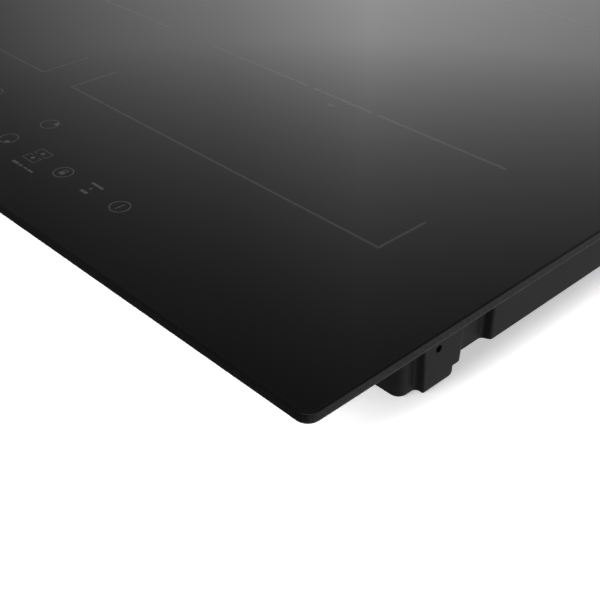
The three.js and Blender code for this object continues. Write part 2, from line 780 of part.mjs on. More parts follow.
// Flat cable from under the touch holder, over the tray's front wall and down to the filter board.
function ribbonCable() {
  const route = [
    [touch.front + 12, touch.holderZ - 2],
    [tray.front - 4, touch.holderZ - 2],
    [tray.front + 14, touch.holderZ - 3],
    [tray.front + 34, boardZ + 6],
    [filter.front - 40, boardZ + 3],
    [filter.front + 12, boardTop + 1.2],
  ];
  const points = route.map(([y, z]) => new THREE.Vector3(0, y, z));
  const path = new THREE.CatmullRomCurve3(points, false, "centripetal");
  const half = ribbon.thickness / 2;
  const edge = (side) =>
    Array.from({ length: ribbon.steps + 1 }, (_, i) => {
      const point = path.getPoint(i / ribbon.steps);
      const tangent = path.getTangent(i / ribbon.steps);
      return [point.y - side * half * tangent.z, point.z + side * half * tangent.y, 0];
    });
  const outline = [...edge(-1), ...edge(1).reverse()];
  return prismAlongX(outline, ribbon.x - ribbon.width / 2, ribbon.x + ribbon.width / 2);
}

// ---- Mains terminals ----

function terminalBox() {
  const { left, right, front, rear, bottom, top, wall } = terminal;
  const shell = cut(
    box(left, right, front, rear, bottom, top),
    box(left + wall, right - wall, front + wall, rear + 1, bottom + wall, top - wall),
  );
  const ears = [left, right - wall].map((x) => box(x, x + wall, rear - 1, tray.rear, bottom, top));
  const pinHole = pinAlongX(lid.pinHole, left - 1, right + 1, lid.hingeY, lid.hingeZ);
  const { left: holeLeft, right: holeRight, bottom: holeBottom, top: holeTop } = leadHole;
  const window = box(holeLeft, holeRight, front - 1, front + wall + 1, holeBottom, holeTop);
  const sunk = terminalFloor - 0.5;
  const clampPosts = clampScrews.map(({ x }) =>
    post(clampScrewSize.post, x, clampY, sunk, clamp.bottom - fit, 12),
  );
  const [cradleLeft, cradleRight] = [cable.x - cradle.halfWidth, cable.x + cradle.halfWidth];
  const support = box(cradleLeft, cradleRight, clamp.front, clamp.rear, sunk, cable.z - cradle.drop);
  const rest = cut(support, cableGroove());
  return cut(join(shell, ...ears, ...clampPosts, rest), pinHole, window, ...clampScrews.map(clampScrewHole));
}

// The channel that the mains cable lies in, between the cradle and the clamp.
function cableGroove() {
  return pinAlongY(cable.radius, cable.x, clamp.front - 1, clamp.rear + 1, cable.z, 20);
}

function clampScrewHole({ x }) {
  return post(clampScrewSize.hole, x, clampY, terminalFloor + 2, clamp.top + 5, 12);
}

function clampScrew({ x }) {
  const under = clamp.top + fit;
  return join(
    post(clampScrewSize.head, x, clampY, under, under + clampScrewSize.headHeight),
    post(clampScrewSize.shank, x, clampY, terminalFloor + 4, under + 1, 8),
  );
}

function cableClamp() {
  const bridge = box(
    cable.x - clamp.halfWidth,
    cable.x + clamp.halfWidth,
    clamp.front,
    clamp.rear,
    clamp.bottom,
    clamp.top,
  );
  return cut(bridge, cableGroove(), ...clampScrews.map(clampScrewHole));
}

// A plate that hinges on two stub pins at its lower corners, with a notch for the cable in its free edge.
function terminalCover() {
  const side = terminal.wall + 0.5;
  const left = terminal.left + side;
  const right = terminal.right - side;
  const plate = box(
    left,
    right,
    lid.hingeY - lid.halfThickness,
    lid.hingeY + lid.halfThickness,
    lid.hingeZ,
    lid.top,
  );
  const barrel = pinAlongX(lid.halfThickness + 0.2, left, right, lid.hingeY, lid.hingeZ);
  const pins = pinAlongX(lid.pin, terminal.left + fit, terminal.right - fit, lid.hingeY, lid.hingeZ);
  const face = [lid.hingeY - 3, lid.hingeY + 3];
  const notch = join(
    pinAlongY(cable.notch, cable.x, ...face, cable.z, 20),
    box(cable.x - cable.notch, cable.x + cable.notch, ...face, cable.z, lid.top + 1),
  );
  return cut(join(plate, barrel, pins), notch);
}

// A screw terminal strip with a deep pocket over each pole.
function terminalBlock() {
  const bottom = terminalFloor + fit;
  const body = box(block.left, block.right, block.front, block.rear, bottom, block.top);
  const pitch = (block.right - block.left) / block.poles;
  const pockets = Array.from({ length: block.poles }, (_, i) => {
    const x = block.left + (i + 0.5) * pitch;
    const half = pole.halfWidth;
    const wireFront = block.rear - pole.wireDepth;
    return [
      post(half, x, (block.front + block.rear) / 2, block.top - pole.screwDepth, block.top + 1, 12),
      box(x - half, x + half, wireFront, block.rear + 1, bottom + pole.wireBottom, bottom + pole.wireTop),
    ];
  });
  return cut(body, ...pockets.flat());
}

// An insulated lead from in front of the terminal block to the filter board.
function mainsLead() {
  const route = [
    [206, block.front - 1, 18],
    [206, 208, 18],
    [196, 196, 16.5],
    [150, 192, 10.5],
    [100, 192, 10.5],
    [64, 190, 13],
    [44, 176, 18],
  ];
  const extrudePath = new THREE.CatmullRomCurve3(route.map((point) => new THREE.Vector3(...point)));
  const section = new THREE.Shape();
  section.absarc(0, 0, lead.radius, 0, 2 * Math.PI);
  const options = { steps: lead.steps, curveSegments: 4, extrudePath, bevelEnabled: false };
  return new THREE.ExtrudeGeometry(section, options);
}

// ---- Assembly ----

const hob = new THREE.Group();

function add(name, geometry, material) {
  const mesh = new THREE.Mesh(geometry, new THREE.MeshStandardMaterial(material));
  mesh.name = name;
  hob.add(mesh);
}

function addCoil(name, x, y) {
  add(`coil_former_${name}`, coilFormer(x, y), whitePlastic);
  add(`coil_ferrite_${name}`, ferriteStar(x, y), ferriteGrey);
  add(`coil_winding_${name}`, ring(winding.inner, winding.outer, winding.bottom, winding.top, x, y), copper);
  const disc = ring(insulation.inner, insulation.outer, insulation.bottom, insulation.top, x, y);
  add(`coil_insulation_${name}`, disc, mica);
  add(`coil_sensor_${name}`, temperatureSensor(x, y), whitePlastic);
}

function addSide(name, side) {
  add(`coil_carrier_${name}`, coilCarrier(side), aluminium);
  springPlaces(side).forEach((place, i) => {
    add(`carrier_spring_${name}_${i + 1}`, carrierSpring(place), steel);
  });
  addCoil(`front_${name}`, side * zone.x, zone.frontY);
  addCoil(`rear_${name}`, side * zone.x, zone.rearY);
  add(`fan_housing_${name}`, fanHousing(side * fan.x), blackPlastic);
  add(`fan_rotor_${name}`, fanRotor(side * fan.x), greyPlastic);
  add(`inverter_board_${name}`, inverterBoard(side), boardGreen);
  add(`heat_sink_${name}`, heatSinkOf(side), aluminium);
  add(`capacitor_block_${name}`, capacitorBlock(side), capacitorBlue);
}

add("glass_top", glassTop(), blackGlass);
add("edge_seal", edgeSeal(), foam);
add("glass_frame", glassFrame(), steel);
add("bottom_tray", bottomTray(), blackPlastic);
frameScrews.forEach((place) => add(`frame_screw_${place.name}`, frameScrew(place), steel));
addSide("left", -1);
addSide("right", 1);
add("filter_board", filterBoard(), boardGreen);
add("filter_choke", filterChoke(), copper);
add("touch_board", touchBoard(), boardGreen);
add("touch_holder", touchHolder(), whitePlastic);
add("touch_ribbon", ribbonCable(), wireInsulation);
add("terminal_box", terminalBox(), blackPlastic);
add("terminal_cover", terminalCover(), blackPlastic);
add("terminal_block", terminalBlock(), whitePlastic);
add("cable_clamp", cableClamp(), blackPlastic);
clampScrews.forEach((place) => add(`clamp_screw_${place.name}`, clampScrew(place), steel));
add("mains_lead", mainsLead(), wireInsulation);

export default hob;
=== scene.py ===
"""Looks of a built-in induction hob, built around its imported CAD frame.

Blender works in metres, in the CAD's own frame: +X right, +Y to the rear, +Z up, with the feet on z = 0.
Marks on the glass and parts on the circuit boards are given in millimetres, as their classes say.
"""

import math
import random

import bmesh
import bpy
from mathutils import Matrix, Vector, noise


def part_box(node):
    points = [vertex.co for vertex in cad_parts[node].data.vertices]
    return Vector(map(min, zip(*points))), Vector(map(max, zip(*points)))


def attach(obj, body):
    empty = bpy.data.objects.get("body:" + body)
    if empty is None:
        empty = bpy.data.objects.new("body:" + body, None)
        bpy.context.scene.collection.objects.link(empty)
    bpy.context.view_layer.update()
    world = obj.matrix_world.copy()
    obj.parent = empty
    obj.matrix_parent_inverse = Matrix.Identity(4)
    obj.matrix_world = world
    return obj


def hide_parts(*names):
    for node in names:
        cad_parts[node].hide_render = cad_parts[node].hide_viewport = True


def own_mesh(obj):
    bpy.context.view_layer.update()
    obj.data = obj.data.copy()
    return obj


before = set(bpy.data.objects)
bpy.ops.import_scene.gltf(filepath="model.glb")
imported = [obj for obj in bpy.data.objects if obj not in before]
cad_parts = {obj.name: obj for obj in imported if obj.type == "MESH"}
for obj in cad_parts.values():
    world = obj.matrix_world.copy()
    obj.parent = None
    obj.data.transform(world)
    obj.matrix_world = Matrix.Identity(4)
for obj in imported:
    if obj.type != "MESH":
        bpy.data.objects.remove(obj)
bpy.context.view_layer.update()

MM = 0.001
GLASS_LOW, GLASS_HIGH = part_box("glass_top")
SIDES = ("left", "right")
ENDS = ("front", "rear")


def add_object(name, data):
    made = bpy.data.objects.new(name, data)
    bpy.context.scene.collection.objects.link(made)
    return made


def tie(piece, body, node=None):
    """Ties a piece to the CAD: the body it moves with and the node it stands for, if any."""
    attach(piece, body)
    if node:
        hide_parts(node)


# ---- Shader nodes ----

# Noise values lie mostly in this range.
NOISE_RANGE = (0.3, 0.7)
WHITE = (1.0, 1.0, 1.0)


class Nodes:
    """Adds nodes to a tree. A value is a number, a colour, a vector or another node's output."""

    def __init__(self, tree):
        self.tree = tree

    def feed(self, socket, value):
        if isinstance(value, bpy.types.NodeSocket):
            self.tree.links.new(value, socket)
        elif socket.type == "RGBA":
            socket.default_value = (*value, 1.0)
        else:
            socket.default_value = value

    def add(self, kind, inputs=(), **settings):
        """Adds a node. Its inputs are a dictionary of values by name or number, or a row of values."""
        node = self.tree.nodes.new(kind)
        for name, value in settings.items():
            setattr(node, name, value)
        pairs = inputs.items() if isinstance(inputs, dict) else enumerate(inputs)
        for name, value in pairs:
            self.feed(node.inputs[name], value)
        return node

    def math(self, operation, *values):
        return self.add("ShaderNodeMath", values, operation=operation).outputs[0]

    def ramp(self, value, low, high, out_low=0.0, out_high=1.0, kind="LINEAR"):
        """Maps one range onto another, without going past its ends."""
        inputs = (value, low, high, out_low, out_high)
        return self.add("ShaderNodeMapRange", inputs, interpolation_type=kind).outputs[0]

    def mix(self, factor, first, second):
        """A number between the first and the second."""
        difference = self.math("SUBTRACT", second, first)
        return self.math("ADD", first, self.math("MULTIPLY", difference, factor))

    def tint(self, factor, dark, light):
        """A colour between dark and light."""
        return self.add("ShaderNodeMix", {0: factor, 6: dark, 7: light}, data_type="RGBA").outputs[2]

    def position(self):
        """The point in the object's own coordinates, in metres."""
        return self.add("ShaderNodeTexCoord").outputs["Object"]

    def xyz(self, vector):
        return self.add("ShaderNodeSeparateXYZ", (vector,)).outputs

    def noise(self, per_metre, detail=2.0, stretch=(1.0, 1.0, 1.0)):
        mapping = self.add("ShaderNodeMapping", {"Scale": stretch, "Vector": self.position()})
        inputs = {"Scale": per_metre, "Detail": detail, "Vector": mapping.outputs["Vector"]}
        return self.add("ShaderNodeTexNoise", inputs).outputs["Fac"]

    def cells(self, per_metre, **settings):
        inputs = {"Scale": per_metre, "Vector": self.position()}
        return self.add("ShaderNodeTexVoronoi", inputs, **settings).outputs

    def cell_numbers(self, per_metre, **settings):
        """A random number for each cell."""
        colour = self.cells(per_metre, **settings)["Color"]
        return self.add("ShaderNodeSeparateColor", (colour,)).outputs[0]


class Surface(Nodes):
    """A material, made through its Principled shader."""

    def __init__(self, name):
        self.material = bpy.data.materials.new(name)
        self.material.use_nodes = True
        super().__init__(self.material.node_tree)
        self.shader = self.tree.nodes["Principled BSDF"]

    def set(self, name, value):
        self.feed(self.shader.inputs[name], value)

    def colour(self, factor, dark, light):
        self.set("Base Color", self.tint(factor, dark, light))

    def roughness(self, value, *ranges):
        self.set("Roughness", self.ramp(value, *ranges))

    def bump(self, height, strength, depth_mm):
        inputs = {"Strength": strength, "Distance": depth_mm * MM, "Height": height}
        self.set("Normal", self.add("ShaderNodeBump", inputs).outputs["Normal"])


# ---- Camera, light and floor ----

# Camera position from the top front right corner of the glass, and its turn about X and Z.
CAMERA_OFFSET = Vector((0.18544, -0.18026, 0.22851))
CAMERA_TILT = math.radians(55.052)
CAMERA_TURN = math.radians(46.355)
CAMERA_LENS_MM = 62.76
CAMERA_SENSOR_MM = 36.0
CAMERA_CLIP_START = 0.01


def add_camera():
    data = bpy.data.cameras.new("camera")
    data.lens = CAMERA_LENS_MM
    data.sensor_width = CAMERA_SENSOR_MM
    data.clip_start = CAMERA_CLIP_START
    camera = add_object("camera", data)
    camera.location = Vector((GLASS_HIGH.x, GLASS_LOW.y, GLASS_HIGH.z)) + CAMERA_OFFSET
    camera.rotation_euler = (CAMERA_TILT, 0.0, CAMERA_TURN)
    bpy.context.scene.camera = camera


# The studio's brightness by direction. The glass mirrors the bright band that lies behind the hob.
BAND_PEAK = CAMERA_TURN + math.pi / 2 - math.radians(4.0)
BAND_TOP_DEGREES = 21.0
BAND_FADE_PER_DEGREE = 0.15
BAND_BRIGHTNESS = 1.52
# The share of the band's brightness at degrees to the left of its peak.
BAND_STOPS = {
    -180: 0.08, -150: 0.2, -80: 0.4, -40: 0.42, -14: 0.64,
    0: 0.98, 8: 0.57, 21: 0.165, 60: 0.12, 179: 0.08,
}
ZENITH_DEGREES = (52.0, 80.0)
ZENITH_BRIGHTNESS = 1.1
SKY_FLOOR = 0.045
# The ground is brighter on one side. It meets the sky softly.
GROUND_SIDE = math.radians(35.0)
GROUND_SPREAD = (-0.2, 0.8)
GROUND_BRIGHTNESS = (0.05, 0.36)
HORIZON_SOFTNESS = 0.03


def brightness_round_horizon(nodes, angle):
    """The band's stops, read at an angle to the left of its peak."""
    share = nodes.math("ADD", nodes.math("DIVIDE", angle, 2 * math.pi), 0.5)
    ramp = nodes.add("ShaderNodeValToRGB", (share,))
    elements = ramp.color_ramp.elements
    elements.remove(elements[0])
    for index, (degrees, brightness) in enumerate(BAND_STOPS.items()):
        element = elements[0] if index == 0 else elements.new(0.999)
        element.position = degrees / 360 + 0.5
        element.color = (brightness, brightness, brightness, 1.0)
    return ramp.outputs[0]


def set_world():
    """A studio with a bright band behind the hob, a soft bright zenith and a pale ground on the right."""
    world = bpy.data.worlds.new("studio")
    bpy.context.scene.world = world
    world.use_nodes = True
    nodes = Nodes(world.node_tree)
    x, y, z = nodes.xyz(nodes.add("ShaderNodeTexCoord").outputs["Generated"])

    def towards(angle):
        """How far the direction points towards an azimuth."""
        along_x = nodes.math("MULTIPLY", x, math.cos(angle))
        along_y = nodes.math("MULTIPLY", y, math.sin(angle))
        return nodes.math("ADD", along_x, along_y)

    # The band fades exponentially above its top.
    elevation = nodes.math("MULTIPLY", nodes.math("ARCSINE", z), 180 / math.pi)
    reached = nodes.math("MAXIMUM", elevation, BAND_TOP_DEGREES)
    above = nodes.math("SUBTRACT", reached, BAND_TOP_DEGREES)
    fade = nodes.math("EXPONENT", nodes.math("MULTIPLY", above, -BAND_FADE_PER_DEGREE))
    left = nodes.math("ARCTAN2", towards(BAND_PEAK + math.pi / 2), towards(BAND_PEAK))
    shaped = nodes.math("MULTIPLY", fade, brightness_round_horizon(nodes, left))
    band = nodes.math("MULTIPLY", shaped, BAND_BRIGHTNESS)
    zenith = nodes.ramp(elevation, *ZENITH_DEGREES, 0.0, ZENITH_BRIGHTNESS, "SMOOTHSTEP")
    sky = nodes.math("ADD", nodes.math("ADD", band, zenith), SKY_FLOOR)

    ground = nodes.ramp(towards(GROUND_SIDE), *GROUND_SPREAD, *GROUND_BRIGHTNESS, "SMOOTHSTEP")
    lit = nodes.mix(nodes.ramp(z, -HORIZON_SOFTNESS, HORIZON_SOFTNESS), ground, sky)
    # The camera itself sees plain white.
    camera_ray = nodes.add("ShaderNodeLightPath").outputs["Is Camera Ray"]
    background = world.node_tree.nodes["Background"]
    nodes.feed(background.inputs["Strength"], nodes.mix(camera_ray, lit, 1.0))
    nodes.feed(background.inputs["Color"], WHITE)


# Lights as name, place, width in metres and power in watts. The floor's own two keep it white under the
# front edge and soft grey beside the casing.
FLOOR_LIGHTS = (
    ("floor_overhead", (0.0, 0.0, 3.0), 3.4, 250.0),
    ("floor_front", (-0.15, -2.2, 1.15), 1.5, 75.0),
)
CASING_LIGHT = ("casing_front", (0.0, -1.7, 0.45), 1.2, 7.0)
# The floor's glow near the hob and far away, and the distances in metres between which it grows.
FLOOR_GLOW = (0.5, 1.0)
FLOOR_GLOW_REACH = (1.3, 3.2)
FLOOR_COLOUR = 0.9
FLOOR_REACH = 40.0


def collection_of(name, pieces):
    collection = bpy.data.collections.new(name)
    for piece in pieces:
        collection.objects.link(piece)
    return collection


def add_disc_light(name, place, width, watts, receivers):
    """A disc light that faces the hob and lights the receivers alone."""
    data = bpy.data.lights.new(name, "AREA")
    data.shape = "DISK"
    data.size = width
    data.energy = watts
    light = add_object(name, data)
    light.location = place
    light.rotation_euler = (-Vector(place)).to_track_quat("-Z", "Y").to_euler()
    light.light_linking.receiver_collection = receivers


def add_casing_light():
    """A weak front light on the CAD's nodes apart from the glass, so that the front wall's vents show."""
    nodes = [piece for node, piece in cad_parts.items() if node != "glass_top"]
    add_disc_light(*CASING_LIGHT, collection_of("lit_by_casing_light", nodes))


def floor_white():
    white = Surface("floor_white")
    white.set("Base Color", (FLOOR_COLOUR,) * 3)
    white.set("Roughness", 1.0)
    white.set("Specular IOR Level", 0.0)
    white.set("Emission Color", WHITE)
    distance = white.add("ShaderNodeVectorMath", (white.position(),), operation="LENGTH")
    glow = white.ramp(distance.outputs["Value"], *FLOOR_GLOW_REACH, *FLOOR_GLOW, "SMOOTHSTEP")
    white.set("Emission Strength", glow)
    return white.material


def add_floor():
    """A white floor that the camera sees, but that neither lights the hob nor shows in its reflections."""
    mesh = bpy.data.meshes.new("floor")
    corners = [(x * FLOOR_REACH, y * FLOOR_REACH, 0) for x, y in ((-1, -1), (1, -1), (1, 1), (-1, 1))]
    mesh.from_pydata(corners, [], [(0, 1, 2, 3)])
    mesh.materials.append(floor_white())
    floor = add_object("floor", mesh)
    floor.visible_diffuse = False
    floor.visible_glossy = False
    lit = collection_of("lit_by_floor_lights", [floor])
    for light in FLOOR_LIGHTS:
        add_disc_light(*light, lit)


# ---- Materials ----

LITZ_STRANDS = 7
LITZ_TWISTS_PER_METRE = 45.0
RIBBON_WIRES = 10
TRACES_PER_METRE = 700.0
WIRE_LAYOUT = "wire_layout"


def textured(name, dark, light, rough, grain, bump=0.2, depth_mm=0.05, metallic=0.0, stretch=(1.0, 1.0, 1.0)):
    """A surface with softly varying colour and roughness, and a fine grain of bumps, grain per metre."""
    surface = Surface(name)
    fine = surface.noise(grain, 3.0, stretch)
    broad = surface.noise(grain / 40, 3.0)
    surface.colour(surface.ramp(broad, *NOISE_RANGE), dark, light)
    surface.roughness(fine, *NOISE_RANGE, *rough)
    surface.set("Metallic", metallic)
    surface.bump(fine, bump, depth_mm)
    return surface.material


def polished_glass():
    glass = Surface("polished_black_glass")
    film = glass.noise(18.0, 4.0)
    glass.set("Base Color", (0.0032, 0.0032, 0.0034))
    glass.roughness(film, *NOISE_RANGE, 0.035, 0.06)
    glass.set("IOR", 1.5)
    return glass.material


def ground_glass(low, high):
    """The ground edge between two heights: sparkling grey low down with a painted highlight along the lower
    arris, smoother and darker near the top.
    """
    glass = Surface("ground_glass_edge")
    height = glass.xyz(glass.position())[2]
    grain = glass.noise(1100.0, 1.0)
    sparkle = glass.ramp(grain, 0.42, 0.64, 0.3, 2.6)
    ground = glass.ramp(height, high - 1.1 * MM, high - 0.25 * MM, 1.0, 0.0, "SMOOTHSTEP")
    # Painted highlight: a lighter band of colour along the lower arris, where the edge catches the light.
    arris = glass.ramp(height, low + 0.35 * MM, low + 0.8 * MM, 1.0, 0.0, "SMOOTHSTEP")
    sparkling = glass.math("MULTIPLY", glass.math("MULTIPLY", ground, 0.07), sparkle)
    level = glass.math("ADD", sparkling, glass.math("MULTIPLY", arris, 0.36))
    glass.colour(level, (0.011, 0.011, 0.0112), (0.24, 0.24, 0.245))
    glass.roughness(ground, 0.0, 1.0, 0.12, 0.5)
    glass.bump(grain, 0.35, 0.04)
    return glass.material


def print_enamel(name, level):
    """Fired print: a fine screen dot pattern in grey."""
    enamel = Surface(name)
    dots = enamel.ramp(enamel.noise(4000.0, 1.0), 0.35, 0.65)
    enamel.colour(dots, (level * 0.8,) * 3, (level * 1.2,) * 3)
    enamel.set("Roughness", 0.12)
    return enamel.material


def tray_plastic():
    """Black moulding with a fine spark-eroded grain and a faint flow pattern."""
    dark, light = (0.017, 0.017, 0.018), (0.026, 0.026, 0.0275)
    return textured("tray_black_moulding", dark, light, (0.42, 0.6), 1500.0, 0.25, 0.04)


def seal_foam():
    """Black closed-cell foam: fine cells, with painted shade darker in their hollows, and a dull skin."""
    foam = Surface("closed_cell_foam")
    depth = foam.cells(2200.0)["Distance"]
    # Painted shade: the colour is darker in each cell's hollow and lighter on the cell walls.
    shade = foam.ramp(depth, 0.0, 0.7)
    foam.colour(shade, (0.012, 0.012, 0.013), (0.034, 0.034, 0.036))
    foam.roughness(depth, 0.0, 0.7, 0.95, 0.8)
    foam.bump(depth, 0.5, 0.12)
    return foam.material


def zinc_steel():
    """Zinc-plated sheet: a soft spangle and fine rolling marks."""
    zinc = Surface("zinc_plated_steel")
    marks = zinc.noise(900.0, 2.0, (1.0, 0.06, 1.0))
    blend = zinc.mix(0.35, zinc.noise(60.0, 4.0), marks)
    shade = zinc.ramp(blend, 0.35, 0.65)
    zinc.colour(shade, (0.46, 0.48, 0.49), (0.64, 0.65, 0.65))
    zinc.roughness(blend, 0.35, 0.65, 0.28, 0.42)
    zinc.set("Metallic", 1.0)
    zinc.bump(marks, 0.12, 0.02)
    return zinc.material


def spring_steel(name):
    """Drawn wire with fine scratches along it."""
    dark, light = (0.3, 0.3, 0.31), (0.5, 0.5, 0.52)
    return textured(name, dark, light, (0.22, 0.36), 1400.0, 0.15, 0.02, metallic=1.0)


def rolled_aluminium(name, stretch):
    """Mill-finish aluminium with marks drawn out along the direction it was rolled or extruded in."""
    dark, light = (0.6, 0.61, 0.62), (0.76, 0.77, 0.78)
    return textured(name, dark, light, (0.3, 0.42), 2600.0, 0.12, 0.02, metallic=1.0, stretch=stretch)


def litz_wire(name):
    """Twisted strands of enamelled copper: grooves that run at a slant round the wire, with painted shade
    darker in the grooves.
    """
    litz = Surface(name)
    layout = litz.add("ShaderNodeAttribute", attribute_name=WIRE_LAYOUT)
    along, around, _ = litz.xyz(layout.outputs["Vector"])
    twist = litz.math("MULTIPLY", along, LITZ_TWISTS_PER_METRE * LITZ_STRANDS)
    phase = litz.math("ADD", twist, litz.math("MULTIPLY", around, float(LITZ_STRANDS)))
    strand = litz.ramp(litz.math("SINE", litz.math("MULTIPLY", phase, 2 * math.pi)), -1.0, 1.0)
    patches = litz.ramp(litz.noise(160.0, 3.0), *NOISE_RANGE, 0.6, 1.1)
    # Painted shade: the colour is darker in the grooves between the strands. The patches vary its tone at
    # random.
    shade = litz.math("MULTIPLY", strand, patches)
    litz.colour(shade, (0.16, 0.05, 0.02), (0.62, 0.25, 0.1))
    litz.roughness(strand, 0.0, 1.0, 0.5, 0.27)
    litz.set("Metallic", 0.85)
    litz.bump(strand, 0.6, 0.25)
    return litz.material


def enamelled_wire(name):
    """Solid copper wire under clear enamel."""
    dark, light = (0.42, 0.14, 0.05), (0.56, 0.21, 0.08)
    material = textured(name, dark, light, (0.25, 0.38), 500.0, 0.08, 0.02, metallic=0.9)
    shader = material.node_tree.nodes["Principled BSDF"]
    shader.inputs["Coat Weight"].default_value = 0.6
    shader.inputs["Coat Roughness"].default_value = 0.12
    return material


def sintered_ferrite(name):
    """Dark grey ferrite with a ground face and dust-like pores."""
    dark, light = (0.035, 0.035, 0.038), (0.06, 0.06, 0.063)
    return textured(name, dark, light, (0.38, 0.62), 1800.0, 0.35, 0.05)


def mica_sheet(name):
    """Pressed mica and ceramic fibre: pale flakes that glint a little."""
    mica = Surface(name)
    flake = mica.cell_numbers(700.0)
    blend = mica.mix(0.7, flake, mica.noise(30.0, 4.0))
    mica.colour(blend, (0.5, 0.45, 0.36), (0.74, 0.7, 0.6))
    mica.roughness(flake, 0.0, 1.0, 0.45, 0.85)
    mica.bump(blend, 0.2, 0.06)
    return mica.material


def white_plastic(name="heat_resistant_moulding"):
    """Glass-filled heat-resistant moulding, slightly mottled."""
    return textured(name, (0.6, 0.6, 0.57), (0.72, 0.72, 0.69), (0.42, 0.6), 1100.0, 0.2, 0.04)


def capacitor_case(name):
    """Smooth blue case with a faint orange-peel skin."""
    return textured(name, (0.02, 0.06, 0.25), (0.03, 0.085, 0.32), (0.2, 0.34), 420.0, 0.12, 0.05)


def ceramic_block():
    """Glazed terminal ceramic."""
    dark, light = (0.7, 0.69, 0.65), (0.8, 0.79, 0.75)
    return textured("terminal_ceramic", dark, light, (0.16, 0.3), 500.0, 0.1, 0.04)


def flat_cable():
    """A ribbon of grey wires side by side along X, the first one red."""
    cable = Surface("ribbon_insulation")
    low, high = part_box("touch_ribbon")
    wire = cable.ramp(cable.xyz(cable.position())[0], low.x, high.x, 0.0, float(RIBBON_WIRES))
    groove = cable.ramp(cable.math("PINGPONG", wire, 0.5), 0.0, 0.2)
    grain = cable.noise(300.0, 3.0)
    plain = cable.tint(cable.ramp(grain, *NOISE_RANGE), (0.3, 0.3, 0.31), (0.42, 0.42, 0.43))
    first = cable.math("LESS_THAN", wire, 1.0)
    cable.colour(first, plain, (0.42, 0.04, 0.03))
    cable.roughness(grain, *NOISE_RANGE, 0.4, 0.55)
    cable.bump(groove, 0.8, 0.3)
    return cable.material


def solder_mask():
    """Green solder mask over copper: patches of parallel traces along X or Y, and plain ground areas."""
    mask = Surface("green_solder_mask")
    x, y, _ = mask.xyz(mask.position())
    patch = mask.cell_numbers(75.0, distance="CHEBYCHEV")

    def traces(across):
        wave = mask.math("SINE", mask.math("MULTIPLY", across, 2 * math.pi * TRACES_PER_METRE))
        return mask.ramp(wave, 0.0, 0.3)

    along_y = mask.math("MULTIPLY", traces(x), mask.math("LESS_THAN", patch, 0.35))
    along_x = mask.math("MULTIPLY", traces(y), mask.math("GREATER_THAN", patch, 0.6))
    copper = mask.math("ADD", along_x, along_y)
    weave = mask.noise(1600.0, 2.0)
    shade = mask.mix(0.3, copper, weave)
    mask.colour(shade, (0.012, 0.07, 0.028), (0.035, 0.165, 0.065))
    mask.roughness(weave, *NOISE_RANGE, 0.22, 0.36)
    mask.bump(copper, 0.4, 0.05)
    return mask.material


def board_kit():
    """The materials of what sits on the circuit boards."""
    tin, bright_tin = (0.6, 0.61, 0.62), (0.75, 0.76, 0.76)
    cap, bright_cap = (0.56, 0.57, 0.58), (0.7, 0.71, 0.72)
    gold, bright_gold = (0.72, 0.48, 0.16), (0.84, 0.6, 0.24)
    sleeve, light_sleeve = (0.012, 0.016, 0.035), (0.02, 0.026, 0.055)
    return {
        "mask": solder_mask(),
        "black": textured("chip_moulding", (0.016,) * 3, (0.026,) * 3, (0.4, 0.6), 1500.0),
        "solder": textured("tinned_solder", tin, bright_tin, (0.2, 0.38), 1200.0, metallic=1.0),
        "metal": textured("plated_cap", cap, bright_cap, (0.22, 0.36), 1000.0, metallic=1.0),
        "gold": textured("gold_flash", gold, bright_gold, (0.2, 0.32), 900.0, metallic=1.0),
        "white": textured("connector_nylon", (0.66, 0.65, 0.6), (0.76, 0.75, 0.71), (0.35, 0.5), 1000.0),
        "tape": textured("coil_tape", (0.62, 0.42, 0.05), (0.75, 0.52, 0.09), (0.25, 0.4), 300.0, 0.25, 0.08),
        "film": textured("film_capacitor_case", (0.5, 0.46, 0.34), (0.6, 0.56, 0.43), (0.35, 0.5), 800.0),
        "sleeve": textured("capacitor_sleeve", sleeve, light_sleeve, (0.2, 0.34), 300.0),
        "tan": textured("chip_capacitor", (0.36, 0.26, 0.16), (0.48, 0.36, 0.24), (0.35, 0.5), 1500.0),
    }


# ---- Mesh building ----

def finish_mesh(name, bm, materials, smooth_degrees=35.0):
    """Turns a bmesh into an object whose faces are smooth, apart from edges sharper than the given angle."""
    bmesh.ops.recalc_face_normals(bm, faces=bm.faces)
    for edge in bm.edges:
        if len(edge.link_faces) == 2:
            edge.smooth = edge.calc_face_angle(0.0) < math.radians(smooth_degrees)
    for face in bm.faces:
        face.smooth = True
    mesh = bpy.data.meshes.new(name)
    bm.to_mesh(mesh)
    bm.free()
    for material in materials:
        mesh.materials.append(material)
    return add_object(name, mesh)


def polar(centre, reach, angle):
    """The point (x, y) that far from a centre, at an angle from +X."""
    return centre[0] + reach * math.cos(angle), centre[1] + reach * math.sin(angle)


def circle(centre, radius, count):
    """Points (x, y) counter-clockwise round a circle."""
    return [polar(centre, radius, 2 * math.pi * i / count) for i in range(count)]


def rounded_rectangle(low, high, radius, steps):
    """Points (x, y) counter-clockwise round a rectangle with arcs at its corners."""
    points = []
    corners = [
        (high[0] - radius, low[1] + radius, -90),
        (high[0] - radius, high[1] - radius, 0),
        (low[0] + radius, high[1] - radius, 90),
        (low[0] + radius, low[1] + radius, 180),
    ]
    for x, y, start in corners:
        for step in range(steps + 1):
            points.append(polar((x, y), radius, math.radians(start + 90 * step / steps)))
    return points


def join_rings(bm, rings, closed=False):
    """Faces between each ring of vertices and the next. Closed also joins the last ring to the first."""
    faces = []
    following = rings[1:] + rings[:1] if closed else rings[1:]
    for here, there in zip(rings, following):
        for k in range(len(here)):
            n = (k + 1) % len(here)
            faces.append(bm.faces.new((here[k], here[n], there[n], there[k])))
    return faces


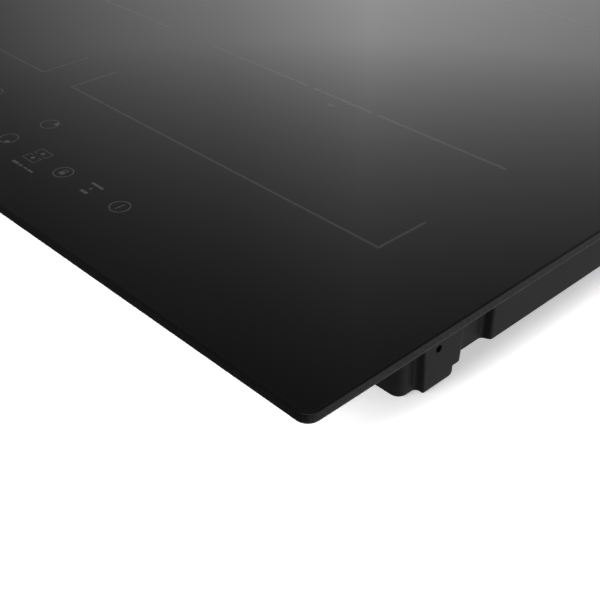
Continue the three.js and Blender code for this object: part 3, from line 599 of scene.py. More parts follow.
def loft(bm, loops, material_index=0):
    """Faces between each loop of points and the next, and a cap on the first and the last."""
    rings = [[bm.verts.new(point) for point in loop] for loop in loops]
    bm.faces.new(list(reversed(rings[0])))
    bm.faces.new(rings[-1])
    for face in join_rings(bm, rings):
        face.material_index = material_index


def add_prism(bm, outline, z0, z1):
    loft(bm, [[(x, y, z0) for x, y in outline], [(x, y, z1) for x, y in outline]])


def revolve(bm, profile, centre, steps):
    """A solid of revolution about an upright axis. The profile is a closed loop of (radius, z)."""
    rings = []
    for step in range(steps):
        angle = 2 * math.pi * step / steps
        rings.append([bm.verts.new((*polar(centre, r, angle), z)) for r, z in profile])
    join_rings(bm, rings, closed=True)


def turned(name, profile, centre, material, steps=96):
    """A turned piece. Where its profile touches the axis, the points there are merged."""
    bm = bmesh.new()
    revolve(bm, profile, centre, steps)
    bmesh.ops.remove_doubles(bm, verts=bm.verts, dist=1e-7)
    return finish_mesh(name, bm, [material])


def spiral(centre, count, steps, shape):
    """Points round an upright axis, so many steps to a turn. The shape gives the reach and z at a turn."""
    path = []
    for i in range(count + 1):
        reach, z = shape(i / steps)
        path.append(Vector((*polar(centre, reach, 2 * math.pi * i / steps), z)))
    return path


def tube(name, path, radius, sides, material):
    """A tube along points. Its wire layout holds the length along it and the share of a turn round it."""
    bm = bmesh.new()
    layer = bm.loops.layers.float_vector.new(WIRE_LAYOUT)
    lengths = [0.0]
    for before, after in zip(path, path[1:]):
        lengths.append(lengths[-1] + (after - before).length)
    section = circle((0.0, 0.0), radius, sides)
    rings = []
    for i, point in enumerate(path):
        ahead = (path[min(i + 1, len(path) - 1)] - path[max(i - 1, 0)]).normalized()
        across = ahead.cross(Vector((0, 0, 1))).normalized()
        up = across.cross(ahead)
        rings.append([bm.verts.new(point + across * x + up * y) for x, y in section])
    for number, face in enumerate(join_rings(bm, rings)):
        i, k = divmod(number, sides)
        corners = ((i, k), (i, k + 1), (i + 1, k + 1), (i + 1, k))
        for loop, (ring, side) in zip(face.loops, corners):
            loop[layer] = (lengths[ring], side / sides, 0.0)
    bm.faces.new(list(reversed(rings[0])))
    bm.faces.new(rings[-1])
    return finish_mesh(name, bm, [material], 50.0)


# ---- Glass ----

GLASS_CORNER = 5.4 * MM
PRINT_THICKNESS = 0.02 * MM
ZONE_ENAMEL_GREY = 0.069
KEY_ENAMEL_GREY = 0.15
# Rings of the glass edge in millimetres, from the underside up: the inset of each, and how far it is
# above the underside or below the top.
LOWER_ARRIS = ((0.12, 0.0), (0.03, 0.05), (0.0, 0.15))
UPPER_ARRIS = ((0.0, 0.3), (0.03, 0.13), (0.1, 0.03), (0.18, 0.0), (1.8, 0.0))


def build_glass():
    """The glass plate: a polished top, a ground side and a fine arris along both edges."""
    top = GLASS_HIGH.z - PRINT_THICKNESS
    bottom = GLASS_LOW.z
    rings = [(inset * MM, bottom + rise * MM) for inset, rise in LOWER_ARRIS]
    rings += [(inset * MM, top - drop * MM) for inset, drop in UPPER_ARRIS]
    loops = []
    for inset, z in rings:
        low = (GLASS_LOW.x + inset, GLASS_LOW.y + inset)
        high = (GLASS_HIGH.x - inset, GLASS_HIGH.y - inset)
        loops.append([(x, y, z) for x, y in rounded_rectangle(low, high, GLASS_CORNER - inset, 16)])
    bm = bmesh.new()
    loft(bm, loops, material_index=1)
    glass = finish_mesh("glass_plate", bm, [polished_glass(), ground_glass(bottom, top)], 32.0)
    tie(glass, "casing", "glass_top")


def on_glass(from_right_mm, from_front_mm):
    """The point that far in from the right and front edges of the glass."""
    return GLASS_HIGH.x - from_right_mm * MM, GLASS_LOW.y + from_front_mm * MM


class Print:
    """Marks on the glass. Places are millimetres in from its right and front edges, sizes millimetres."""

    def __init__(self, name, enamel):
        self.name = name
        self.enamel = enamel
        self.bm = bmesh.new()
        self.z0 = GLASS_HIGH.z - 1.5 * PRINT_THICKNESS
        self.z1 = GLASS_HIGH.z

    def bar(self, start, end, width):
        a, b = Vector(on_glass(*start)), Vector(on_glass(*end))
        along = (b - a).normalized()
        side = Vector((-along.y, along.x)) * (width * MM / 2)
        add_prism(self.bm, [a - side, b - side, b + side, a + side], self.z0, self.z1)

    def level_bar(self, x, y, reach, width):
        """A bar from left to right that reaches equally far to both sides of x."""
        self.bar((x - reach, y), (x + reach, y), width)

    def ring(self, x, y, radius, width):
        inner, outer = (radius - width / 2) * MM, (radius + width / 2) * MM
        section = [(inner, self.z0), (outer, self.z0), (outer, self.z1), (inner, self.z1)]
        revolve(self.bm, section, on_glass(x, y), 48)

    def dot(self, x, y, radius):
        """A disc, a little lower than a ring, so that no two faces share a plane where they overlap."""
        outline = circle(on_glass(x, y), radius * MM, 20)
        add_prism(self.bm, outline, self.z0, self.z1 - 0.2 * PRINT_THICKNESS)

    def finish(self):
        tie(finish_mesh(self.name, self.bm, [self.enamel]), "casing")


# Cooking zones, in millimetres in from the right and front edges.
ZONE_RIGHT = 56.1
ZONE_WIDTH = 224.8
ZONE_FRONT = 94.7
ZONE_REAR = 468.2
ZONE_RETURN = 29.5
ZONE_LINE = 1.4
# Each zone's centre mark: a line in three parts with gaps between them, and a short bar in front of it.
ZONE_CENTRES = (187.7, 374.7)
MARK_OUTER = 106.7
MARK_INNER = 25.6
MARK_MIDDLE = 21.3
MARK_BAR = 2.5
MARK_BAR_DROP = 8.5
MARK_LINE = 1.9
MARK_WIDE_LINE = 2.2
GLASS_WIDTH_MM = (GLASS_HIGH.x - GLASS_LOW.x) / MM


def draw_zones(marks, side):
    """One side's two zones: a bracket at the front and rear, and a centre mark on each zone."""

    def across(distance):
        return distance if side == "right" else GLASS_WIDTH_MM - distance

    near, far = ZONE_RIGHT, ZONE_RIGHT + ZONE_WIDTH
    middle = (near + far) / 2
    half = ZONE_LINE / 2
    for y, inward in ((ZONE_FRONT, 1), (ZONE_REAR, -1)):
        marks.level_bar(across(middle), y, ZONE_WIDTH / 2 + half, ZONE_LINE)
        for x in (near, far):
            marks.bar((across(x), y + inward * half), (across(x), y + inward * ZONE_RETURN), ZONE_LINE)
    for y in ZONE_CENTRES:
        for direction in (-1, 1):
            outer, inner = middle + direction * MARK_OUTER, middle + direction * MARK_INNER
            marks.bar((across(outer), y), (across(inner), y), MARK_LINE)
        marks.level_bar(across(middle), y, MARK_MIDDLE, MARK_WIDE_LINE)
        marks.level_bar(across(middle), y - MARK_BAR_DROP, MARK_BAR, MARK_WIDE_LINE)


# Touch keys, in millimetres in from the right and front edges.
KEY_RADIUS = 4.7
KEY_LINE = 0.55
POWER_KEY = (157.1, 37.6)
TIMER_MARK = (179.3, 37.6)
LOCK_KEY = (201.2, 37.4)
BRIDGE_KEY = (223.7, 37.9)
# Each zone selector and the zone that it picks: 1 for right or rear, -1 for left or front.
SELECTORS = {(249.5, 60.9): (1, 1), (249.7, 37.7): (1, -1), (304.0, 60.9): (-1, 1), (304.0, 37.7): (-1, -1)}
SELECTOR_LINE = 0.5
SLIDER_START = 326.0
SLIDER_PITCH = 13.0
SLIDER_BARS = 9
SLIDER_FRONT = 33.7
SLIDER_LOW_BAR = 3.0
SLIDER_GROWTH = 0.8


def draw_power_key(marks):
    """A ring round an upright stroke."""
    x, y = POWER_KEY
    marks.ring(x, y, KEY_RADIUS, KEY_LINE)
    marks.bar((x, y - 2.7), (x, y + 2.7), 0.6)


def draw_timer_mark(marks):
    """A wide bar over a dot over a narrow bar."""
    x, y = TIMER_MARK
    marks.level_bar(x, y + 3.7, 4.3, 1.5)
    marks.dot(x, y, 0.75)
    marks.level_bar(x, y - 3.7, 2.4, 1.7)


def draw_lock_key(marks):
    """A ring round a padlock: a bar with a small ring over it."""
    x, y = LOCK_KEY
    marks.ring(x, y, KEY_RADIUS, KEY_LINE)
    marks.level_bar(x, y - 0.9, 1.6, 2.2)
    marks.ring(x, y + 1.4, 1.1, 0.5)


def draw_bridge_key(marks):
    """A split upright frame with a dot in each half, over a short strip of marks."""
    x, y = BRIDGE_KEY
    half_width, half_height, half_gap, foot, line = 4.7, 5.6, 1.1, 2.2, 0.4
    for direction in (-1, 1):
        outer, inner = y + direction * half_height, y + direction * half_gap
        marks.level_bar(x, outer, half_width, line)
        for side in (-1, 1):
            edge = x + side * half_width
            marks.bar((edge, outer), (edge, inner), line)
            marks.bar((edge, inner), (edge - side * foot, inner), line)
        marks.dot(x, y + direction * 2.7, 1.1)
    strip_y = y - 11.0
    for start, end, width in ((-4.2, 0.4, 1.7), (1.2, 4.0, 1.3), (5.4, 8.0, 1.0), (8.8, 12.8, 1.3)):
        marks.bar((x - start, strip_y), (x - end, strip_y), width)


def draw_zone_selectors(marks):
    """Zone selectors: a ring with a dot on the side of the zone that it picks."""
    reach = (KEY_RADIUS - 1.1) * math.sqrt(0.5)
    for (x, y), (right, rear) in SELECTORS.items():
        marks.ring(x, y, KEY_RADIUS, SELECTOR_LINE)
        marks.dot(x - right * reach, y + rear * reach, 1.35)


def draw_power_slider(marks):
    """Power slider: bars that grow towards the high end."""
    for i in range(SLIDER_BARS):
        x = SLIDER_START + (SLIDER_BARS - 1 - i) * SLIDER_PITCH
        marks.bar((x, SLIDER_FRONT), (x, SLIDER_FRONT + SLIDER_LOW_BAR + SLIDER_GROWTH * i), 1.0)


# The pieces of key print, and what draws each of them.
KEY_PRINTS = {
    "print_power_key": draw_power_key,
    "print_timer_mark": draw_timer_mark,
    "print_lock_key": draw_lock_key,
    "print_bridge_key": draw_bridge_key,
    "print_zone_selectors": draw_zone_selectors,
    "print_power_slider": draw_power_slider,
}


def build_print():
    zone_enamel = print_enamel("zone_print_enamel", ZONE_ENAMEL_GREY)
    key_enamel = print_enamel("key_print_enamel", KEY_ENAMEL_GREY)
    for side in SIDES:
        marks = Print(f"print_zones_{side}", zone_enamel)
        draw_zones(marks, side)
        marks.finish()
    for name, draw in KEY_PRINTS.items():
        marks = Print(name, key_enamel)
        draw(marks)
        marks.finish()


# ---- CAD nodes that keep their shape ----

def smooth_by_angle(degrees):
    """A node group that shades smooth, apart from edges sharper than the angle."""
    tree = bpy.data.node_groups.new(f"smooth_below_{degrees}_degrees", "GeometryNodeTree")
    for direction in ("INPUT", "OUTPUT"):
        tree.interface.new_socket("Geometry", in_out=direction, socket_type="NodeSocketGeometry")
    nodes = Nodes(tree)
    start = nodes.add("NodeGroupInput").outputs[0]
    smooth = nodes.add("GeometryNodeSetShadeSmooth", {"Geometry": start}).outputs[0]
    angle = nodes.add("GeometryNodeInputMeshEdgeAngle").outputs["Unsigned Angle"]
    is_sharp = nodes.math("GREATER_THAN", angle, math.radians(degrees))
    inputs = {"Geometry": smooth, "Selection": is_sharp, "Shade Smooth": False}
    sharp_edges = nodes.add("GeometryNodeSetShadeSmooth", inputs, domain="EDGE")
    nodes.add("NodeGroupOutput", (sharp_edges.outputs[0],))
    return tree


SMOOTH = smooth_by_angle(38)
WELD_DISTANCE = 0.002 * MM
FLAT_ANGLE = math.radians(0.3)
BEVEL_ANGLE = math.radians(40.0)


def dress(node, material, bevel_mm=0.0, segments=2):
    """Gives a CAD node a material, rounded edges and smooth shading of its curved sides."""
    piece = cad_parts[node]
    piece.data.materials.clear()
    piece.data.materials.append(material)
    weld = piece.modifiers.new("weld", "WELD")
    weld.merge_threshold = WELD_DISTANCE
    flat = piece.modifiers.new("merge_flat_faces", "DECIMATE")
    flat.decimate_type = "DISSOLVE"
    flat.angle_limit = FLAT_ANGLE
    if bevel_mm:
        bevel = piece.modifiers.new("rounded_edges", "BEVEL")
        bevel.width = bevel_mm * MM
        bevel.segments = segments
        bevel.limit_method = "ANGLE"
        bevel.angle_limit = BEVEL_ANGLE
    smooth = piece.modifiers.new("smooth_by_angle", "NODES")
    smooth.node_group = SMOOTH
    weighted = piece.modifiers.new("flat_face_normals", "WEIGHTED_NORMAL")
    weighted.keep_sharp = True


def dress_casing(steel, kit):
    dress("bottom_tray", tray_plastic(), 0.4, 3)
    dark, light = (0.02, 0.02, 0.021), (0.032, 0.032, 0.034)
    inner_plastic = textured("terminal_moulding", dark, light, (0.4, 0.55), 1200.0)
    for node in ("terminal_box", "terminal_cover", "cable_clamp"):
        dress(node, inner_plastic, 0.25)
    dress("glass_frame", steel, 0.2)
    dress("touch_holder", white_plastic("touch_holder_moulding"), 0.3)
    dress("touch_board", kit["mask"])
    dress("touch_ribbon", flat_cable())
    lead = textured("lead_insulation", (0.1, 0.045, 0.02), (0.14, 0.065, 0.03), (0.45, 0.6), 900.0)
    dress("mains_lead", lead)
    dress("terminal_block", ceramic_block(), 0.3)


def dress_side(side, white):
    fan_plastic = textured(f"fan_moulding_{side}", (0.02,) * 3, (0.03,) * 3, (0.45, 0.6), 1000.0)
    rotor_plastic = textured(f"rotor_moulding_{side}", (0.07,) * 3, (0.1,) * 3, (0.35, 0.5), 900.0)
    dress(f"coil_carrier_{side}", rolled_aluminium(f"carrier_aluminium_{side}", (0.02, 1.0, 1.0)), 0.25)
    dress(f"heat_sink_{side}", rolled_aluminium(f"extruded_aluminium_{side}", (1.0, 0.01, 1.0)), 0.15)
    dress(f"fan_housing_{side}", fan_plastic, 0.25)
    dress(f"fan_rotor_{side}", rotor_plastic, 0.15)
    dress(f"capacitor_block_{side}", capacitor_case(f"film_capacitor_{side}"), 0.6, 3)
    for end in ENDS:
        dress(f"coil_ferrite_{end}_{side}", sintered_ferrite(f"ferrite_{end}_{side}"), 0.35)
        dress(f"coil_sensor_{end}_{side}", white, 0.4)


# ---- Seal ----

SEAL_WIDTH = 8.0 * MM
SEAL_CORNER = 9.0 * MM
SEAL_SPACING = 6.0 * MM
SEAL_SOFT = 0.45 * MM
SEAL_CREASE = 0.1 * MM
SEAL_WAVE = 0.12 * MM
SEAL_WAVES_PER_METRE = 90.0


def spaced(outline, spacing):
    """Adds points along the long sides of a closed outline."""
    points = []
    for start, end in zip(outline, outline[1:] + outline[:1]):
        a, b = Vector(start), Vector(end)
        count = max(1, round((b - a).length / spacing))
        points += [tuple(a.lerp(b, i / count)) for i in range(count)]
    return points


def seal_section(low_z, high_z):
    """The strip's section as (inset, z): rounded below, with a shallow dent along its middle."""
    soft, crease, width = SEAL_SOFT, SEAL_CREASE, SEAL_WIDTH
    return [
        (0.0, high_z - crease),
        (0.0, low_z + soft),
        (0.3 * soft, low_z + 0.3 * soft),
        (soft, low_z),
        (width / 2, low_z + crease),
        (width - soft, low_z),
        (width - 0.3 * soft, low_z + 0.3 * soft),
        (width, low_z + soft),
        (width, high_z - crease),
        (width - crease, high_z),
        (crease, high_z),
    ]


def build_seal():
    """A closed-cell foam strip under the edge of the glass. Its lower edges are soft and a little uneven."""
    low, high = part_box("edge_seal")
    centre, reach = (low + high) / 2, (high - low) / 2
    section = seal_section(low.z, high.z)
    bm = bmesh.new()
    rings = []
    for x, y in spaced(rounded_rectangle(low, high, SEAL_CORNER, 10), SEAL_SPACING):
        # How far an inset of one moves this point, along X and Y.
        local = Vector((x - centre.x, y - centre.y))
        past = Vector((abs(local.x) - (reach.x - SEAL_CORNER), abs(local.y) - (reach.y - SEAL_CORNER)))
        away = Vector((max(past.x, 0.0), max(past.y, 0.0))).normalized()
        outward = Vector((math.copysign(away.x, local.x), math.copysign(away.y, local.y)))
        ring = []
        for inset, z in section:
            wave = noise.noise(Vector((x, y, z)) * SEAL_WAVES_PER_METRE) * SEAL_WAVE
            point = Vector((x, y)) - outward * (inset + abs(wave))
            lift = wave * 0.4 if z < high.z - SEAL_SOFT else 0.0
            ring.append(bm.verts.new((point.x, point.y, z + lift)))
        rings.append(ring)
    join_rings(bm, rings, closed=True)
    seal = finish_mesh("foam_seal_strip", bm, [seal_foam()], 50.0)
    tie(seal, "casing", "edge_seal")


# ---- Screws ----

THREAD_PITCH = 0.7 * MM
# Radius and height of the head, radius and length of the shank.
FRAME_SCREW = (3.5 * MM, 2.2 * MM, 1.75 * MM, 7.9 * MM)
CLAMP_SCREW = (2.8 * MM, 1.8 * MM, 1.3 * MM, 12.6 * MM)


def cut_away(piece, cutter):
    """Cuts the cutter's solid out of the piece and removes the cutter."""
    boolean = piece.modifiers.new("cut", "BOOLEAN")
    boolean.object = cutter
    boolean.solver = "EXACT"
    evaluated = piece.evaluated_get(bpy.context.evaluated_depsgraph_get())
    mesh = bpy.data.meshes.new_from_object(evaluated)
    piece.modifiers.clear()
    piece.data = mesh
    bpy.data.objects.remove(cutter)


def cross_outline(reach, half, z):
    """A cross whose arms reach that far from its middle."""
    outline = []
    for turn in range(4):
        cosine, sine = math.cos(turn * math.pi / 2), math.sin(turn * math.pi / 2)
        for x, y in ((reach, -half), (reach, half), (half, half)):
            outline.append((x * cosine - y * sine, x * sine + y * cosine, z))
    return outline


def cross_recess(radius, top, depth):
    """A tapered cross, the shape of a screwdriver's tip."""
    bm = bmesh.new()
    tip = cross_outline(0.3 * radius, 0.1 * radius, top - depth)
    mouth = cross_outline(0.62 * radius, 0.17 * radius, top + 0.1 * MM)
    loft(bm, [tip, mouth])
    return finish_mesh("recess", bm, [])


def screw_mesh(head_radius, head_height, shank_radius, length, material):
    """A pan-head screw along Z, with the underside of its head at z = 0, a thread and a cross recess."""
    dome = ((0.0, 1.0), (0.55, 1.0), (0.8, 0.9), (0.94, 0.68), (1.0, 0.4), (1.0, 0.1), (0.97, 0.0))
    profile = [(r * head_radius, z * head_height) for r, z in dome]
    root = 0.78 * shank_radius
    profile.append((root, 0.0))
    for turn in range(int((length - 1.6 * MM) / THREAD_PITCH)):
        z = -(turn + 0.3) * THREAD_PITCH
        profile += [(root, z), (shank_radius, z - 0.3 * THREAD_PITCH), (root, z - 0.6 * THREAD_PITCH)]
    profile += [(0.6 * root, -length + 0.3 * MM), (0.0, -length)]
    screw = turned("screw", profile, (0.0, 0.0), material, 40)
    cut_away(screw, cross_recess(head_radius, head_height, 0.6 * head_height))
    mesh = screw.data
    bpy.data.objects.remove(screw)
    return mesh


def place_screw(node, mesh, under_head, direction):
    """Puts a copy of a screw with the underside of its head at a point, its head facing a direction."""
    turn = Vector(direction).to_track_quat("Z", "Y").to_matrix().to_4x4()
    own = mesh.copy()
    own.transform(Matrix.Translation(under_head) @ turn)
    tie(add_object(f"{node}_pan_head", own), "casing", node)


def build_screws(steel):
    frame_mesh = screw_mesh(*FRAME_SCREW, steel)
    for end, facing in (("front", -1), ("rear", 1)):
        for side in SIDES:
            node = f"frame_screw_{end}_{side}"
            low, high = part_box(node)
            head_end = low.y if facing < 0 else high.y
            under_head = ((low.x + high.x) / 2, head_end - facing * FRAME_SCREW[1], (low.z + high.z) / 2)
            place_screw(node, frame_mesh, under_head, (0, facing, 0))
    clamp_mesh = screw_mesh(*CLAMP_SCREW, steel)
    for side in SIDES:
        node = f"clamp_screw_{side}"
        low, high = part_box(node)
        under_head = ((low.x + high.x) / 2, (low.y + high.y) / 2, high.z - CLAMP_SCREW[1])
        place_screw(node, clamp_mesh, under_head, (0, 0, 1))


# ---- Springs ----

SPRING_RADIUS = 5.0 * MM
SPRING_WIRE = 0.62 * MM
SPRING_TURNS = 6
SPRING_INSET = 10.0 * MM
SPRING_STEPS = 28


def spring_path(x, y, low, high):
    """A compression spring's centre line. Its first and last turns are closed."""
    closed_rise = 2.1 * SPRING_WIRE

    def shape(turn):
        open_share = min(max((turn - 1) / (SPRING_TURNS - 2), 0.0), 1.0)
        ends = min(turn, 1.0) + max(turn - (SPRING_TURNS - 1), 0.0)
        return SPRING_RADIUS, low + closed_rise * ends + (high - low - 2 * closed_rise) * open_share

    return spiral((x, y), SPRING_TURNS * SPRING_STEPS, SPRING_STEPS, shape)


def build_springs(side):
    """The four springs under a coil carrier, one in from each of its corners."""
    material = spring_steel(f"spring_wire_{side}")
    carrier_low, carrier_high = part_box(f"coil_carrier_{side}")
    xs = (carrier_low.x + SPRING_INSET, carrier_high.x - SPRING_INSET)
    ys = (carrier_low.y + SPRING_INSET, carrier_high.y - SPRING_INSET)
    for i in range(1, 5):
        node = f"carrier_spring_{side}_{i}"
        low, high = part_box(node)
        x = min(xs, key=lambda place: abs(place - (low.x + high.x) / 2))
        y = min(ys, key=lambda place: abs(place - (low.y + high.y) / 2))
        path = spring_path(x, y, low.z + SPRING_WIRE, high.z - SPRING_WIRE)
        spring = tube(f"{node}_wire", path, SPRING_WIRE, 10, material)
        tie(spring, "casing", node)
        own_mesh(spring)


# ---- Coils ----

WINDING_INNER = 22.0 * MM
WINDING_PITCH = 3.12 * MM
WINDING_STEPS = 80
FORMER_BORE = 9.0 * MM
FORMER_WALL = 1.6 * MM
FORMER_FLOOR = 1.7 * MM
FORMER_EDGE = 0.4 * MM
INSULATION_BORE = 10.0 * MM
INSULATION_EDGE = 0.25 * MM


def build_winding(end, side, material):
    """A flat spiral of twisted litz wire."""
    node = f"coil_winding_{end}_{side}"
    low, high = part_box(node)
    centre = (low + high) / 2
    radius = (high.z - low.z) / 2 - 0.03 * MM
    start = WINDING_INNER + radius
    finish = (high.x - low.x) / 2 - radius
    count = int((finish - start) / WINDING_PITCH * WINDING_STEPS)
    path = spiral(centre, count, WINDING_STEPS, lambda turn: (start + WINDING_PITCH * turn, centre.z))
    winding = tube(f"{node}_litz", path, radius, 10, material)
    tie(winding, f"carrier_{side}", node)


def disc_section(bore, outer, low, high, edge):
    """A flat disc's section as (radius, z), with its outer corners cut off."""
    rim = [(outer - edge, low), (outer, low + edge), (outer, high - edge), (outer - edge, high)]
    return [(bore, low), *rim, (bore, high)]


def build_former(end, side, material):
    """The shallow dish that the winding lies in."""
    node = f"coil_former_{end}_{side}"
    low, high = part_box(node)
    outer, edge = (high.x - low.x) / 2, FORMER_EDGE
    inner, floor = outer - FORMER_WALL, low.z + FORMER_FLOOR
    wall = [(inner + edge, high.z), (inner, high.z - edge), (inner, floor + edge), (inner - edge, floor)]
    profile = disc_section(FORMER_BORE, outer, low.z, high.z, edge)[:-1] + wall + [(FORMER_BORE, floor)]
    former = turned(f"{node}_dish", profile, (low + high) / 2, material)
    tie(former, f"carrier_{side}", node)


def build_insulation(end, side, material):
    """The sheet between a winding and the glass."""
    node = f"coil_insulation_{end}_{side}"
    low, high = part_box(node)
    profile = disc_section(INSULATION_BORE, (high.x - low.x) / 2, low.z, high.z, INSULATION_EDGE)
    disc = turned(f"{node}_sheet", profile, (low + high) / 2, material)
    tie(disc, f"carrier_{side}", node)


def build_coils(side, white):
    litz = litz_wire(f"litz_{side}")
    mica = mica_sheet(f"mica_{side}")
    for end in ENDS:
        build_former(end, side, white)
        build_winding(end, side, litz)
        build_insulation(end, side, mica)


# ---- Circuit boards ----

BOARD_THICKNESS_MM = 1.6
CHIP_LEG_PITCH_MM = 1.27
CONNECTOR_PITCH_MM = 2.5
SMALL_PART_GRID_MM = 2.2


def box_mm(node):
    low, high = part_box(node)
    return low / MM, high / MM


class Parts:
    """Solids of several materials in one mesh. Places and sizes are millimetres."""

    def __init__(self, name):
        self.name = name
        self.bm = bmesh.new()
        self.materials = []

    def box(self, corner, opposite, material, edge=0.0):
        low, high = zip(*(sorted(pair) for pair in zip(corner, opposite)))
        low, high = Vector(low) * MM, Vector(high) * MM
        matrix = Matrix.Translation((low + high) / 2) @ Matrix.Diagonal((*(high - low), 1.0))
        made = bmesh.ops.create_cube(self.bm, size=1.0, matrix=matrix)
        self.paint(made["verts"], material, edge)

    def block(self, base, half_width, half_depth, height, material, edge=0.0):
        """A box that stands on a point at the middle of its base."""
        x, y, z = base
        low, high = (x - half_width, y - half_depth, z), (x + half_width, y + half_depth, z + height)
        self.box(low, high, material, edge)

    def post(self, base, radius, height, material, edge=0.0, sides=32):
        x, y, z = base
        middle = Vector((x, y, z + height / 2)) * MM
        made = bmesh.ops.create_cone(
            self.bm, cap_ends=True, segments=sides, radius1=radius * MM, radius2=radius * MM,
            depth=height * MM, matrix=Matrix.Translation(middle),
        )
        self.paint(made["verts"], material, edge)

    def paint(self, verts, material, edge):
        """Gives new faces their material and bevels their edges."""
        if material not in self.materials:
            self.materials.append(material)
        index = self.materials.index(material)
        faces = {face for vert in verts for face in vert.link_faces}
        for face in faces:
            face.material_index = index
        if edge:
            sharp = {e for face in faces for e in face.edges if e.calc_face_angle(0.0) > math.radians(50)}
            bmesh.ops.bevel(
                self.bm, geom=list(sharp), offset=edge * MM, segments=2, profile=0.5,
                affect="EDGES", material=index,
            )

    def finish(self, slot, node=None):
        tie(finish_mesh(self.name, self.bm, self.materials, 40.0), "casing", node)


def add_chip(parts, x, y, z, width, length, kit):
    """A surface-mounted chip with rows of legs along its long sides."""
    parts.block((x, y, z + 0.1), width / 2, length / 2, 1.4, kit["black"], 0.15)
    count = int(length / CHIP_LEG_PITCH_MM)
    for i in range(count):
        leg_y = y + (i - (count - 1) / 2) * CHIP_LEG_PITCH_MM
        for direction in (-1, 1):
            parts.block((x + direction * (width / 2 + 0.4), leg_y, z), 0.5, 0.2, 0.3, kit["solder"])


def add_electrolytic(parts, x, y, z, radius, height, kit):
    parts.post((x, y, z), radius, height, kit["sleeve"], 0.5)
    parts.post((x, y, z + height), radius * 0.72, 0.15, kit["metal"])


def add_connector(parts, x, y, z, poles, kit):
    """A white pin header with its row of pins in an open shroud."""
    half = poles * CONNECTOR_PITCH_MM / 2 + 1.0
    depth, half_wall, inside, shroud = 2.9, 0.35, 1.4, 4.6
    parts.block((x, y, z), half, depth, 1.5, kit["white"])
    for direction in (-1, 1):
        wall_y = y + direction * (depth - half_wall)
        parts.block((x, wall_y, z + inside), half, half_wall, shroud, kit["white"], 0.2)
        wall_x = x + direction * (half - half_wall)
        parts.block((wall_x, y, z + inside), half_wall, depth - 2 * half_wall, shroud, kit["white"])
    for i in range(poles):
        pin_x = x + (i - (poles - 1) / 2) * CONNECTOR_PITCH_MM
        parts.block((pin_x, y, z + inside), 0.32, 0.32, 3.8, kit["solder"])


def scatter_small_parts(parts, area, z, count, kit, draw, keep_clear=()):
    """Chip resistors and capacitors in loose rows over an area (x0, y0, x1, y1)."""
    x0, y0, x1, y1 = area
    grid = SMALL_PART_GRID_MM
    for _ in range(count):
        x, y = draw.uniform(x0, x1), draw.uniform(y0, y1)
        x, y = round(x / grid) * grid, round(y / grid) * grid
        if any(a < x < c and b < y < d for a, b, c, d in keep_clear):
            continue
        half_width, half_depth = (1.0, 0.6) if draw.random() < 0.5 else (0.6, 1.0)
        material = kit["black"] if draw.random() < 0.5 else kit["tan"]
        parts.block((x, y, z), half_width, half_depth, 0.7, material)


def add_mounting_screws(parts, low, high, z, kit):
    """A screw head with a cross slot near each corner of a board."""
    inset = 6.0
    for x in (low.x + inset, high.x - inset):
        for y in (low.y + inset, high.y - inset):
            parts.post((x, y, z), 3.4, 0.05, kit["solder"])
            parts.post((x, y, z + 0.05), 2.8, 1.5, kit["metal"], 0.5)
            for half_width, half_depth in ((1.95, 0.25), (0.25, 1.95)):
                parts.block((x, y, z + 1.4), half_width, half_depth, 0.2, kit["black"])


def build_inverter_board(side, kit):
    """Power board: driver transformers along the outer edge, control parts in front of the fan."""
    node = f"inverter_board_{side}"
    low, high = box_mm(node)
    top = low.z + BOARD_THICKNESS_MM
    parts = Parts(f"{node}_assembly")
    parts.box(low, (high.x, high.y, top), kit["mask"])

    def across(distance):
        """X of a point that far from the middle of the hob."""
        return distance if side == "right" else -distance

    for y in (-109, -59, -9, 41):
        parts.block((across(196), y, top), 6, 11, 6.6, kit["black"], 0.5)
        parts.block((across(196), y, top + 6.6), 4, 8, 0.4, kit["tape"])
    add_chip(parts, across(84), 30, top, 10, 10.5, kit)
    add_chip(parts, across(84), 52, top, 4, 5.5, kit)
    add_chip(parts, across(74), 8, top, 4, 5.5, kit)
    for y in (-8, 4):
        add_electrolytic(parts, across(96), y, top, 4, 9.5, kit)
    add_connector(parts, across(84), 76, top, 6, kit)
    add_connector(parts, across(150), 79, top, 3, kit)
    x0, x1 = sorted((across(68), across(102)))
    large_chip = (across(84) - 7, 22, across(84) + 7, 38)
    scatter_small_parts(parts, (x0, 14, x1, 66), top, 70, kit, random.Random(3), [large_chip])
    add_mounting_screws(parts, low, high, top, kit)
    parts.finish("board_green", node)


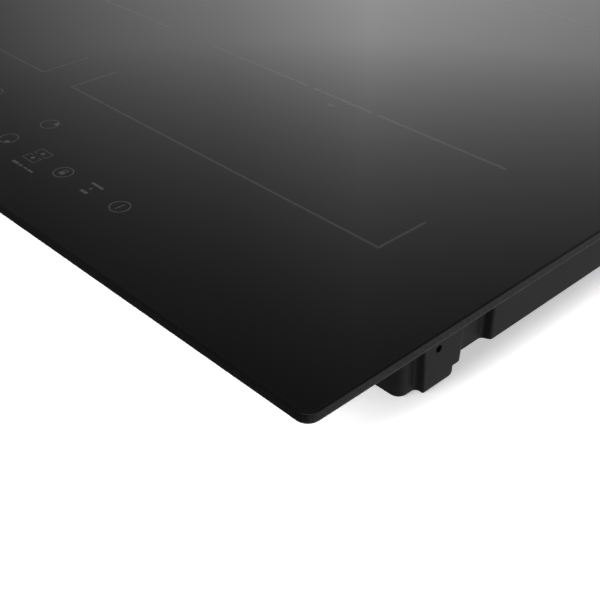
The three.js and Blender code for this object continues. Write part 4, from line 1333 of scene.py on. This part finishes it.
def build_filter_board(kit):
    """Mains filter board: film capacitors, two electrolytics, a relay, a fuse and varistors."""
    low, high = box_mm("filter_board")
    top = low.z + BOARD_THICKNESS_MM
    parts = Parts("filter_board_assembly")
    parts.box(low, (high.x, high.y, top), kit["mask"])
    for x0, x1, y0, y1, z1 in ((-40, -14, 20, 60, 25.0), (14, 40, 20, 44, 24.0)):
        parts.box((x0, y0, top + 0.3), (x1, y1, z1), kit["film"], 0.8)
        for y in (y0 + 6, y1 - 6):
            parts.post(((x0 + x1) / 2, y, top), 0.5, 0.5, kit["solder"], sides=12)
    for y in (70, 92):
        add_electrolytic(parts, 30, y, top, 8, 24.8 - top, kit)
    relay, fuse = (26, 120, top), (0, 69, top)
    parts.block(relay, 14, 8, 10.5, kit["black"], 0.6)
    for x in (-38, -28):
        parts.post((x, 78, top), 0.4, 2.5, kit["solder"], sides=10)
        parts.block((x, 78, top + 2.2), 3.5, 1.5, 6.8, kit["tape"], 0.9)
    parts.block(fuse, 8, 3, 6, kit["white"], 0.4)
    add_connector(parts, -20, 12, top, 5, kit)
    for x in (24, 34, 44):
        parts.block((x, 166.5, top), 3, 0.5, 8, kit["metal"], 0.2)
    scatter_small_parts(parts, (-44, 148, 18, 178), top, 60, kit, random.Random(5))
    add_mounting_screws(parts, low, high, top, kit)
    parts.finish("board_green", "filter_board")


CHOKE_RING = 17.0 * MM
CHOKE_TUBE = 4.5 * MM
CHOKE_WIRE = 0.66 * MM
CHOKE_TURNS = 14
CHOKE_STEPS = 28
# Each winding runs from one angle to the other round its half of the ring.
CHOKE_START, CHOKE_END = math.radians(20), math.radians(160)


def choke_path(centre, half):
    """The centre line of the wire that is wound round one half of the ring."""
    path = []
    count = CHOKE_TURNS * CHOKE_STEPS
    for i in range(count + 1):
        around = CHOKE_START + (CHOKE_END - CHOKE_START) * i / count + half * math.pi
        twist = 2 * math.pi * i / CHOKE_STEPS
        reach = CHOKE_RING + (CHOKE_TUBE + CHOKE_WIRE) * math.cos(twist)
        lift = (CHOKE_TUBE + CHOKE_WIRE) * math.sin(twist)
        path.append(Vector((*polar(centre, reach, around), centre.z + lift)))
    return path


def build_choke():
    """A coated toroid with two windings, one on each half."""
    low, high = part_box("filter_choke")
    centre = (low + high) / 2
    core = textured("choke_core", (0.02, 0.045, 0.03), (0.03, 0.06, 0.04), (0.4, 0.55), 900.0)
    section = circle((CHOKE_RING, centre.z), CHOKE_TUBE, 20)
    tie(turned("filter_choke_core", section, centre, core), "casing", "filter_choke")
    wire = enamelled_wire("choke_wire")
    for half in (0, 1):
        winding = tube(f"filter_choke_winding_{half + 1}", choke_path(centre, half), CHOKE_WIRE, 8, wire)
        tie(winding, "casing")


def build_touch_board_parts(kit):
    """Sensor pads and lamps on the touch board, one under each printed key."""
    _, high = box_mm("touch_board")
    parts = Parts("touch_board_pads")
    bars = [(SLIDER_START + i * SLIDER_PITCH, 35.0) for i in range(SLIDER_BARS)]
    for key in [POWER_KEY, LOCK_KEY, BRIDGE_KEY, *SELECTORS, *bars]:
        x, y = (place / MM for place in on_glass(*key))
        parts.post((x, y, high.z), 4.2, 0.06, kit["gold"])
        parts.block((x + 6.2, y, high.z), 0.8, 0.8, 0.6, kit["white"], 0.1)
    parts.finish("board_green")


TERMINAL_POLES = 5
TERMINAL_SCREW_DROP_MM = 5.8


def build_terminal_screws(steel, kit):
    """A slotted screw in each pocket of the terminal block."""
    low, high = box_mm("terminal_block")
    pitch = (high.x - low.x) / TERMINAL_POLES
    parts = Parts("terminal_pole_screws")
    for i in range(TERMINAL_POLES):
        x, y, z = low.x + (i + 0.5) * pitch, (low.y + high.y) / 2, high.z - TERMINAL_SCREW_DROP_MM
        parts.post((x, y, z), 2.2, 2.6, steel, 0.3)
        parts.block((x, y, z + 2.3), 1.8, 0.3, 0.32, kit["black"])
    parts.finish("zinc_steel")


# ---- The whole scene ----

def build_all():
    steel = zinc_steel()
    kit = board_kit()
    white = white_plastic()
    dress_casing(steel, kit)
    build_seal()
    build_screws(steel)
    build_terminal_screws(steel, kit)
    build_touch_board_parts(kit)
    build_filter_board(kit)
    build_choke()
    for side in SIDES:
        dress_side(side, white)
        build_coils(side, white)
        build_springs(side)
        build_inverter_board(side, kit)


add_camera()
set_world()
add_floor()
add_casing_light()
build_glass()
build_print()
build_all()

bpy.context.scene.view_settings.view_transform = "Standard"
